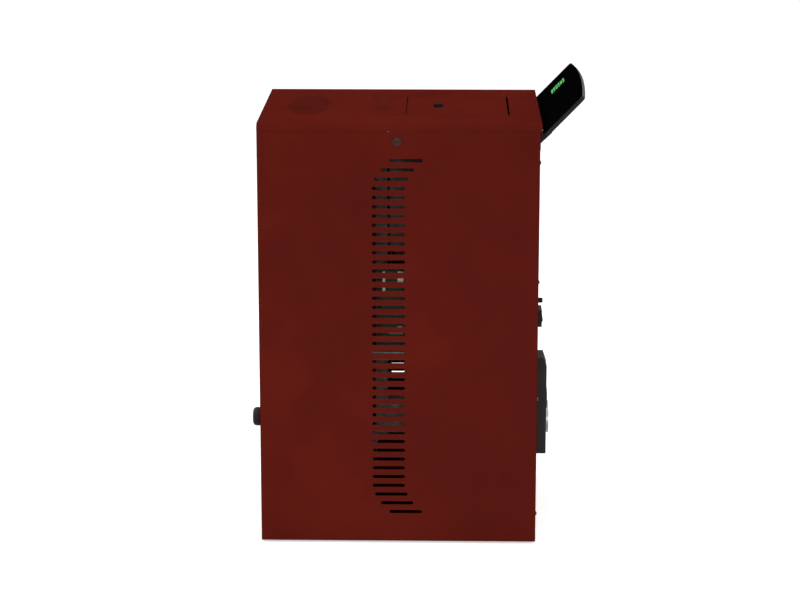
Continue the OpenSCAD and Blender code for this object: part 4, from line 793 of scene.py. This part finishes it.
def side_panels():
    """Panels folded from one sheet each, with rolled upright edges and a lock hole."""
    panel = folded("right_side_sheet", SIDE_LOW, SIDE_HIGH, ("-x", "+z", "-z"), {"z": 3 * MM})
    lock, radius = lock_place()
    lip = 2.5 * MM
    inward, outward = Vector((-20 * MM, 0, 0)), Vector((10 * MM, 0, 0))
    hole = rod("lock_hole", lock + inward, lock + outward, radius - lip)
    cut(panel, [side_slot_tool(), hole])
    soften(panel, 0.45)
    mirrored = copied(panel, "left_side_sheet", Matrix.Scale(-1, 4, (1, 0, 0)))
    dress(panel, "stove", "red_paint", ["right_side_panel"])
    dress(mirrored, "stove", "red_paint", ["left_side_panel"])


def vent_tool(x, y, length, width):
    """One long slot through the top sheet, its middle at x, y."""
    top, reach = in_mm(TOP), 6
    low = at(x - width / 2, y - length / 2, top - reach)
    high = at(x + width / 2, y + length / 2, top + reach)
    return stadium("vent", low, high, "z")


def top_vent_tool():
    """Punched slots: an oval field in front and a waisted field behind it."""
    pitch = 9
    oval_y, oval_w, oval_l, oval_slot = 106, 300, 100, 4.5
    waist_y, waist_w, waist_end, waist_mid, waist_slot = 281, 290, 72, 33, 3
    tools = []
    oval_half = int((oval_w / 2 - pitch) // pitch)
    for i in range(-oval_half, oval_half + 1):
        length = oval_l * math.sqrt(1 - (2 * i * pitch / oval_w) ** 2)
        tools.append(vent_tool(i * pitch, oval_y, length, oval_slot))
    waist_half = int(waist_w / 2 // pitch)
    for i in range(-waist_half, waist_half + 1):
        length = waist_mid + (waist_end - waist_mid) * (i / waist_half) ** 2
        tools.append(vent_tool(i * pitch, waist_y, length, waist_slot))
    return merge(tools, "top_vents")


def top_cover():
    """One sheet rolled down along both sides, with the lid's opening and the vents punched out."""
    low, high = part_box("top_cover")
    skirt, roll, corner = 0.6 * MM, 15 * MM, 3 * MM
    cover = folded("top_sheet", low - Vector((0, 0, skirt)), high, ("-z",), {"y": roll})
    lid_low, lid_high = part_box("hopper_lid")
    side, rear = 1.5 * MM, 4.5 * MM
    opening = block("lid_opening", (lid_low.x - side, lid_low.y - side, TOP - 8 * MM),
                    (lid_high.x + side, lid_high.y + rear, TOP + 10 * MM))
    round_off(opening, corner, 4, lambda middle, run: abs(run.z) > 0.99)
    cut(cover, [opening, top_vent_tool()])
    soften(cover, 0.6, 3)
    dress(cover, "stove", "red_paint", ["top_cover"])


def hopper_lid():
    """Folded lid with a clipped-in finger cup and two welded hinge lugs."""
    low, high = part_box("hopper_lid")
    rim = 10 * MM
    plate_low = Vector((low.x, low.y, TOP - rim))
    lid = folded("lid_sheet", plate_low, high, ("-z", "+y"), {"x": 2 * MM, "y": 2 * MM, "z": 3 * MM})
    cup_y, cup_w, cup_l, cup_depth, wall = low.y + 74 * MM, 55 * MM, 22 * MM, 12 * MM, 1.5 * MM
    hole = block("finger_hole", (-cup_w / 2, cup_y - cup_l / 2, TOP - 6 * MM),
                 (cup_w / 2, cup_y + cup_l / 2, TOP + 10 * MM))
    round_off(hole, 6 * MM, 6, lambda middle, run: abs(run.z) > 0.99)
    cut(lid, [hole])
    sunk = 1.2 * MM
    cup = folded("finger_cup", (-cup_w / 2 - wall, cup_y - cup_l / 2 - wall, TOP - cup_depth - wall),
                 (cup_w / 2 + wall, cup_y + cup_l / 2 + wall, TOP - sunk), ("+z",),
                 {"z": 7 * MM, "x": 2 * MM}, wall)
    pin_y, pin_z, lug_x = high.y - 8 * MM, TOP - 9 * MM, 105 * MM
    lug_half, lug_r, bore_r = 5 * MM, 6 * MM, 3.05 * MM
    past = Vector((4 * MM, 0, 0))
    lugs = []
    for side in (-1, 1):
        ends = [Vector((side * lug_x + step * lug_half, pin_y, pin_z)) for step in (-1, 1)]
        lug = rod("lid_lug", ends[0], ends[1], lug_r, 40)
        web = block("lid_web", (side * lug_x - lug_half, pin_y - lug_r, pin_z),
                    (side * lug_x + lug_half, pin_y + lug_r, TOP - 1 * MM))
        bore = rod("lid_bore", ends[0] - past, ends[1] + past, bore_r, 40)
        cut(lug, [web], "UNION")
        lugs.append(cut(lug, [bore]))
    lid = merge([lid] + lugs, "lid_sheet")
    soften(lid, 0.4)
    dress(lid, "hopper_lid", "red_paint", ["hopper_lid"])
    soften(cup, 0.3)
    dress(cup, "hopper_lid", "black_plastic")


def drawer_front():
    """Tray-shaped front, folded back on all four sides."""
    low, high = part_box("drawer_front")
    front = folded("drawer_sheet", low, high, ("+y",), {"x": 2.5 * MM, "z": 2.5 * MM})
    soften(front, 0.4)
    dress(front, "ash_drawer", "red_paint", ["drawer_front"])


def front_fascia():
    """Fascia above the door, folded back at both sides."""
    low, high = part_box("front_fascia")
    front = folded("fascia_sheet", low, high, ("+y", "+z", "-z"), {"z": 2.5 * MM})
    soften(front, 0.4)
    dress(front, "stove", "red_paint", ["front_fascia"])


# Rear fittings

def rear_cover():
    """Charcoal sheet cover with a bevelled top edge, open towards the casing."""
    low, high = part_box("rear_cover")
    cover = block("rear_cover_sheet", low, high)
    edit(cover, "FACE")
    bpy.ops.mesh.select_all(action="SELECT")
    corner = Vector((0, high.y - 7 * MM, high.z))
    slope = Vector((0, 15, 5)).normalized()
    bpy.ops.mesh.bisect(plane_co=corner, plane_no=slope, clear_outer=True, use_fill=True)
    bpy.ops.mesh.select_all(action="DESELECT")
    if pick_faces(cover, lambda middle, normal: normal.y < -0.99):
        bpy.ops.mesh.delete(type="FACE")
    leave_edit()
    apply_modifier(cover, "SOLIDIFY", thickness=2 * MM, offset=-1.0, use_even_offset=True)
    soften(cover, 1.0, 3, 20)
    dress(cover, "stove", "black_steel", ["rear_cover"])


def mains_inlet():
    """Moulded module: socket with three blades, and the well of the rocker switch."""
    low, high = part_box("mains_inlet")
    middle = (low.z + high.z) / 2
    flange = Vector((low.x, REAR - 1.2 * MM, low.z))
    module = block("mains_module", flange, high)

    def face_edge(place, run):
        return abs(run.x) > 0.99 and place.y > high.y - MM

    round_off(module, 3 * MM, 4, lambda place, run: abs(run.y) > 0.99)
    round_off(module, 5 * MM, 4, lambda place, run: face_edge(place, run) and place.z > middle)
    round_off(module, 2 * MM, 3, lambda place, run: face_edge(place, run) and place.z < middle)
    rim = 4 * MM
    rear = block("mains_body", (low.x + rim, low.y, low.z + rim), (high.x - rim, REAR, high.z - rim))
    cut(module, [rear], "UNION")
    well = block("socket_well", (low.x + 5 * MM, high.y - 16 * MM, middle - 8 * MM),
                 (low.x + 29 * MM, high.y + 5 * MM, middle + 8 * MM))
    round_off(well, 4 * MM, 1, lambda place, run: abs(run.y) > 0.99 and place.z > middle)
    round_off(well, 1 * MM, 2, lambda place, run: abs(run.y) > 0.99 and place.z < middle)
    rocker_x = high.x - 24 * MM
    switch_well = block("switch_well", (rocker_x - 0.3 * MM, high.y - 15 * MM, middle - 12 * MM),
                        (rocker_x + 18.3 * MM, high.y + 5 * MM, middle + 12 * MM))
    cut(module, [well, switch_well])
    soften(module, 0.5)
    dress(module, "stove", "black_plastic", ["mains_inlet"])
    blades = []
    half_x, half_z, blade_l = 1 * MM, 2 * MM, 13 * MM
    for x, z in ((11, -3), (17, 3), (23, -3)):
        foot = Vector((low.x + x * MM, high.y - 16.2 * MM, middle + z * MM))
        blade = block("blade", foot - Vector((half_x, 0, half_z)), foot + Vector((half_x, blade_l, half_z)))
        round_off(blade, 0.5 * MM, 2, lambda place, run: place.y > foot.y + blade_l - MM)
        blades.append(blade)
    blades = merge(blades, "socket_blades")
    soften(blades, 0.15)
    dress(blades, "stove", "steel")


def reset_cap():
    """Screw cap with a ribbed skirt and a shallow dish in its face."""
    low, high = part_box("reset_cap")
    radius = in_mm(high.x - low.x) / 2
    length = in_mm(high.y - low.y)
    centre = Vector(((low.x + high.x) / 2, low.y, (low.z + high.z) / 2))
    rim = radius - 0.6
    profile = [(rim, 0), (rim, length - 1.2), (rim - 0.8, length - 0.3), (rim - 1.6, length),
               (rim - 2.4, length - 0.1), (rim - 3.0, length - 0.5), (0.6, length - 0.5)]
    cap = turned("cap_moulding", profile, centre, (0, 1, 0))
    bore_end = centre + Vector((0, (length - 1.5) * MM, 0))
    bore = rod("cap_bore", centre - Vector((0, 5 * MM, 0)), bore_end, (radius - 2) * MM)
    cut(cap, [bore])
    rib_half, rib_start = 0.5 * MM, 0.8 * MM
    rib = block("rib", centre + Vector((-rib_half, rib_start, (rim - 0.4) * MM)),
                centre + Vector((rib_half, (length - 1.6) * MM, radius * MM)))
    soften(rib, 0.25)
    ribs, rib_count = [], 18
    for i in range(rib_count):
        turn = Matrix.Rotation(i * math.tau / rib_count, 4, "Y")
        ribs.append(copied(rib, "rib", Matrix.Translation(centre) @ turn @ Matrix.Translation(-centre)))
    bpy.data.objects.remove(rib)
    soften(cap, 0)
    dress(merge([cap] + ribs, "cap_moulding"), "reset_cap", "black_plastic", ["reset_cap"])


def cross_recess(face, size, depth):
    """Two crossed blades that cut a screw's recess from a face that looks along +y."""
    arms = []
    for long_x, long_z in ((size, size * 0.26), (size * 0.26, size)):
        arms.append(block("arm", face - Vector((long_x / 2, depth, long_z / 2)),
                          face + Vector((long_x / 2, 2 * MM, long_z / 2))))
    return cut(arms[0], [arms[1]], "UNION")


def rear_screws():
    """Pan-head screws with a cross recess, four down each rear edge."""
    low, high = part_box("rear_screws")
    head = 4.5
    seat = high.y - 2.4 * MM
    base = Vector((0, seat, 0))
    profile = [(head, 0), (head, 0.8), (head - 0.4, 1.5), (head - 1.2, 2.0), (head - 2.4, 2.35), (0.5, 2.4)]
    screw = turned("rear_screw", profile, base, (0, 1, 0), 32)
    cut(screw, [cross_recess(Vector((0, high.y, 0)), 4.6 * MM, 1.3 * MM)])
    shank = rod("screw_shank", (0, low.y, 0), (0, seat + 0.2 * MM, 0), 2 * MM, 20)
    soften(screw, 0.12)
    screw = merge([screw, shank], "rear_screw")
    rows = 4
    first, last = low.z + head * MM, high.z - head * MM
    reach = high.x - head * MM
    moves = [(side * reach, 0, first + (last - first) * row / (rows - 1))
             for side in (-1, 1) for row in range(rows)]
    screws = repeated(screw, "rear_screw_set", moves)
    dress(screws, "stove", "painted_screw", ["rear_screws"])


def panel_locks():
    """Quarter-turn lock: a chamfered head with a coin slot, its shank, and a cam behind the panel."""
    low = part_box("right_panel_lock")[0]
    face, radius = lock_place()
    seat = HALF + 0.3 * MM
    rim = in_mm(radius)
    base = Vector((seat, face.y, face.z))
    profile = [(rim, 0), (rim, 1.3), (rim - 0.5, 2.1), (rim - 1.4, 2.6), (rim - 2.2, 2.7), (rim - 2.8, 2.45),
               (rim - 8, 2.45), (0.6, 2.45)]
    head = turned("lock_head", profile, base, (1, 0, 0), 64)
    slot = block("coin_slot", face - Vector((1.6 * MM, 7 * MM, 1 * MM)),
                 face + Vector((5 * MM, 7 * MM, 1 * MM)))
    cut(head, [slot])
    soften(head, 0.2)
    shank = rod("lock_shank", (low.x, face.y, face.z), (seat + MM, face.y, face.z), (rim - 3) * MM, 40)
    cam_half, cam_t = 6 * MM, 3.5 * MM
    cam = block("lock_cam", (low.x, face.y - cam_half, low.z), (low.x + cam_t, face.y + cam_half, face.z))
    round_off(cam, 5 * MM, 6, lambda place, run: abs(run.x) > 0.99 and place.z < low.z + MM)
    soften(cam, 0.3)
    soften(shank, 0.3)
    lock = merge([head, shank, cam], "right_lock_fitting")
    mirrored = copied(lock, "left_lock_fitting", Matrix.Scale(-1, 4, (1, 0, 0)))
    dress(lock, "right_panel_lock", "lock_metal", ["right_panel_lock"])
    dress(mirrored, "left_panel_lock", "lock_metal", ["left_panel_lock"])


def drawer_knob():
    """Compression-moulded knob with a waist, a rounded grip and a dished face."""
    low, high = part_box("drawer_knob")
    r = in_mm(high.x - low.x) / 2
    length = in_mm(high.y - low.y)
    base = Vector((0, high.y, (low.z + high.z) / 2))
    foot = [(12, 0), (12, 1.5), (11.2, 3)]
    waist = [(10.4, 0.2 * length), (10, 0.3 * length), (11.5, 0.37 * length), (r - 4, 0.43 * length)]
    grip = [(r - 1.2, 0.5 * length), (r, 0.6 * length), (r, 0.78 * length), (r - 0.7, 0.85 * length),
            (r - 2, 0.91 * length), (r - 4, 0.96 * length), (r - 7, 0.99 * length)]
    dish = [(r - 10, length), (r - 12, 0.985 * length), (2, 0.96 * length)]
    knob = turned("knob_moulding", foot + waist + grip + dish, base, (0, -1, 0), 64)
    soften(knob, 0)
    dress(knob, "ash_drawer", "dark_enamel", ["drawer_knob"])


def levelling_feet():
    """Moulded pad with a low hub and a threaded stem, under each corner."""
    for node in ("foot_front_left", "foot_front_right", "foot_rear_left", "foot_rear_right"):
        low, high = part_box(node)
        r = in_mm(high.x - low.x) / 2
        height = in_mm(high.z - low.z)
        base = Vector(((low.x + high.x) / 2, (low.y + high.y) / 2, low.z))
        crest, root, thread_pitch = 5.0, 4.5, 1.5
        profile = [(r - 0.8, 0), (r, 0.8), (r, 2.6), (r - 0.8, 3.4), (r - 3, 3.8), (9, 4), (8, 5),
                   (crest, 5.2)]
        thread = 5.4
        while thread < height - 3:
            profile += [(crest, thread), (root, thread + 0.7)]
            thread += thread_pitch
        profile += [(root, height - 1), (4.0, height)]
        foot = turned(node + "_moulding", profile, base, (0, 0, 1), 48)
        soften(foot, 0)
        dress(foot, node, "black_plastic", [node])


# Control panel

def panel_tilt():
    """Lean of the glass's front face, from its largest upward face."""
    faces = [face for face in NODES["panel_glass"].data.polygons if face.normal.z > 0.3]
    normal = max(faces, key=lambda face: face.area).normal
    return math.atan2(-normal.y, normal.z)


PANEL_TILT = panel_tilt()


def on_panel(piece):
    """Moves a piece drawn flat, x along the panel and y up its slope, on to the panel's face."""
    behind_casing, below_top = 6 * MM, 21 * MM
    foot = Vector((0, REAR + behind_casing, TOP - below_top))
    piece.data.transform(Matrix.Translation(foot) @ Matrix.Rotation(PANEL_TILT, 4, "X"))
    return piece


def bar(low_x, low_y, high_x, high_y):
    """One display segment: a thin bar with pointed ends, standing off the film."""
    back, face = -0.45 * MM, -0.15 * MM
    piece = block("bar", (low_x * MM, low_y * MM, back), (high_x * MM, high_y * MM, face))
    half = min(high_x - low_x, high_y - low_y) / 2
    return round_off(piece, half * 0.99 * MM, 1, lambda place, run: abs(run.z) > 0.99)


def digit_bars(digit, x, y):
    """A seven-bar digit whose lower left corner is at x, y in mm."""
    bars_of = {"0": "abcdef", "1": "bc", "2": "abged", "5": "afgcd", "7": "abc", "8": "abcdefg"}
    wide, high, thick, gap = 4.6, 5.8, 1.3, 0.1
    left, right, half = x + gap + thick / 2, x + wide - gap - thick / 2, y + high / 2
    spans = {
        "a": (left, y + high - thick, right, y + high),
        "g": (left, half - thick / 2, right, half + thick / 2),
        "d": (left, y, right, y + thick),
        "f": (x, half + gap, x + thick, y + high - thick / 2),
        "b": (x + wide - thick, half + gap, x + wide, y + high - thick / 2),
        "e": (x, y + thick / 2, x + thick, half - gap),
        "c": (x + wide - thick, y + thick / 2, x + wide, half - gap)}
    return [bar(*spans[key]) for key in bars_of[digit]]


def display_digits():
    """Six rows of nine lit green digits, plain numbers that name nothing."""
    rows = ("205718215", "120850751", "255021178", "021572081", "580122715", "178205102")
    first_x, first_y, digit_step, row_step = -151, 85.2, 5.8, 7.6
    pieces = []
    for row, numbers in enumerate(rows):
        for place, digit in enumerate(numbers):
            pieces += digit_bars(digit, first_x + place * digit_step, first_y - row * row_step)
    digits = on_panel(merge(pieces, "display_digits"))
    soften(digits, 0)
    dress(digits, "stove", "display", material=SEGMENT)


def control_panel():
    """Housing, glass, display film and bracket as packed, with softened edges, and the lit digits."""
    refined("panel_housing", 1.6, 3)
    refined("panel_glass", 0.6, 2)
    refined("panel_display", 0.2, 1)
    refined("panel_bracket", 0.6, 2)
    display_digits()


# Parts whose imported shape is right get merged, rounded copies

def rounded_copies():
    """Copies with their edges rounded by the width in mm that each way of making leaves."""
    casting = {"door_frame": 2.5, "brazier": 1.2}
    folded_steel = {"rear_panel": 0.4, "base_tray": 0.4, "firebox_shell": 0.8, "lid_hinges": 0.4,
                    "ash_pan": 0.4, "door_brackets": 0.5, "hopper": 0.3, "frame": 0.3}
    fittings = {"door_handle": 0.8, "door_glass": 0.5, "door_gasket": 3.0, "glass_clips": 0.4,
                "rocker_switch": 0.6, "liner_plates": 1.2, "lid_seal": 1.0, "flue_spigot": 0.5,
                "air_intake_pipe": 0.5, "safety_thermostat": 0.3, "reset_button": 0.4,
                "board_connectors": 0.3, "gearmotor": 0.8}
    for group in (casting, folded_steel, fittings):
        for node, width in group.items():
            refined(node, width)


side_panels()
top_cover()
hopper_lid()
drawer_front()
front_fascia()
rear_cover()
mains_inlet()
reset_cap()
rear_screws()
panel_locks()
drawer_knob()
levelling_feet()
control_panel()
rounded_copies()


# Studio and camera

WHITE = (1, 1, 1, 1)
WORLD_LIGHT = 0.62
FLOOR_GLOW = 0.52


def surroundings():
    """White where the camera, gloss and glass see it, and an even soft light elsewhere."""
    world = bpy.data.worlds.new("studio")
    bpy.context.scene.world = world
    world.use_nodes = True
    tree = world.node_tree
    tree.nodes.clear()
    path = add_node(tree, "LightPath")
    seen = add_node(tree, "Math", {"operation": "MAXIMUM"},
                    links={"Value": (path, "Is Camera Ray"), "Value_001": (path, "Is Glossy Ray")})
    seen = add_node(tree, "Math", {"operation": "MAXIMUM"},
                    links={"Value": (seen, "Value"), "Value_001": (path, "Is Transmission Ray")})
    light = add_node(tree, "Background", inputs={"Color": WHITE, "Strength": WORLD_LIGHT})
    white = add_node(tree, "Background", inputs={"Color": WHITE, "Strength": 1.0})
    chosen = add_node(tree, "MixShader", links={"Fac": (seen, "Value"), "Shader": (light, "Background"),
                                                "Shader_001": (white, "Background")})
    add_node(tree, "OutputWorld", links={"Surface": (chosen, "Shader")})


def pale_floor():
    """A wide pale floor half a millimetre below the feet; it keeps the stove's shadow."""
    deselect()
    bpy.ops.mesh.primitive_plane_add(size=60, location=(0, 0, -0.5 * MM))
    floor = bpy.context.object
    floor.name = "studio_floor"
    settle(floor)
    material, tree, shader = new_material("pale_floor")
    path = add_node(tree, "LightPath")
    grain = noise(tree, object_coordinates(tree), 400, 3)
    tone = ramp(tree, grain, "Fac", [(0.3, "#f1f0ee"), (0.7, "#f5f4f2")])
    glow = add_node(tree, "Math", {"operation": "MULTIPLY"}, {"Value_001": FLOOR_GLOW},
                    {"Value": (path, "Is Camera Ray")})
    join(tree, shader, Base_Color=(tone, "Color"), Emission_Strength=(glow, "Value"))
    shader.inputs["Emission Color"].default_value = WHITE
    shader.inputs["Roughness"].default_value = 0.9
    shader.inputs["Specular IOR Level"].default_value = 0.0
    floor.data.materials.append(material)


def soft_lights():
    """Five round soft boxes, aimed at the stove's middle, and one low strip."""
    middle = Vector((0, 0, 0.55))
    # Name, place in m, width in m, power in W
    boxes = [("key", (3.2, -2.4, 3.2), 2.2, 31),
             ("fill", (3.0, 2.8, 2.4), 2.2, 18),
             ("front", (-1.6, -3.6, 2.2), 2.0, 30),
             ("back", (-2.6, 2.6, 2.8), 2.2, 30),
             ("top", (0.5, 0.0, 3.6), 2.4, 31)]
    for name, place, size, power in boxes:
        deselect()
        bpy.ops.object.light_add(type="AREA", location=place)
        lamp = bpy.context.object
        lamp.name = name + "_softbox"
        lamp.data.shape = "DISK"
        lamp.data.size = size
        lamp.data.energy = power
        lamp.rotation_euler = (middle - Vector(place)).to_track_quat("-Z", "Y").to_euler()

    # The strip beside the stove stands for the light that a white floor throws up
    deselect()
    strip_place, strip_length, strip_width, strip_power = (1.35, 0.0, 0.2), 1.8, 0.3, 3.8
    bpy.ops.object.light_add(type="AREA", location=strip_place)
    lamp = bpy.context.object
    lamp.name = "floor_bounce"
    lamp.data.shape = "RECTANGLE"
    lamp.data.size = strip_length
    lamp.data.size_y = strip_width
    lamp.data.energy = strip_power
    lamp.rotation_euler = Vector((-1, 0, 0)).to_track_quat("-Z", "Y").to_euler()


def photograph_camera():
    """The photograph's view: from the stove's right side, a little above its top. Angles in radians."""
    distance, behind_front, height = 5.6, 0.4376, 1.9184
    turn, tilt = -0.0208, 0.2271
    lens_mm, sensor_mm, shift = 107.56, 36, -0.05
    bpy.ops.object.camera_add(location=(distance, FRONT + behind_front, height))
    camera = bpy.context.object
    gaze = Vector((-math.cos(turn) * math.cos(tilt), math.sin(turn) * math.cos(tilt), -math.sin(tilt)))
    camera.rotation_euler = gaze.to_track_quat("-Z", "Y").to_euler()
    camera.data.lens = lens_mm
    camera.data.sensor_width = sensor_mm
    camera.data.shift_y = shift
    bpy.context.scene.camera = camera


bpy.context.scene.view_settings.view_transform = "Standard"
surroundings()
pale_floor()
soft_lights()
photograph_camera()
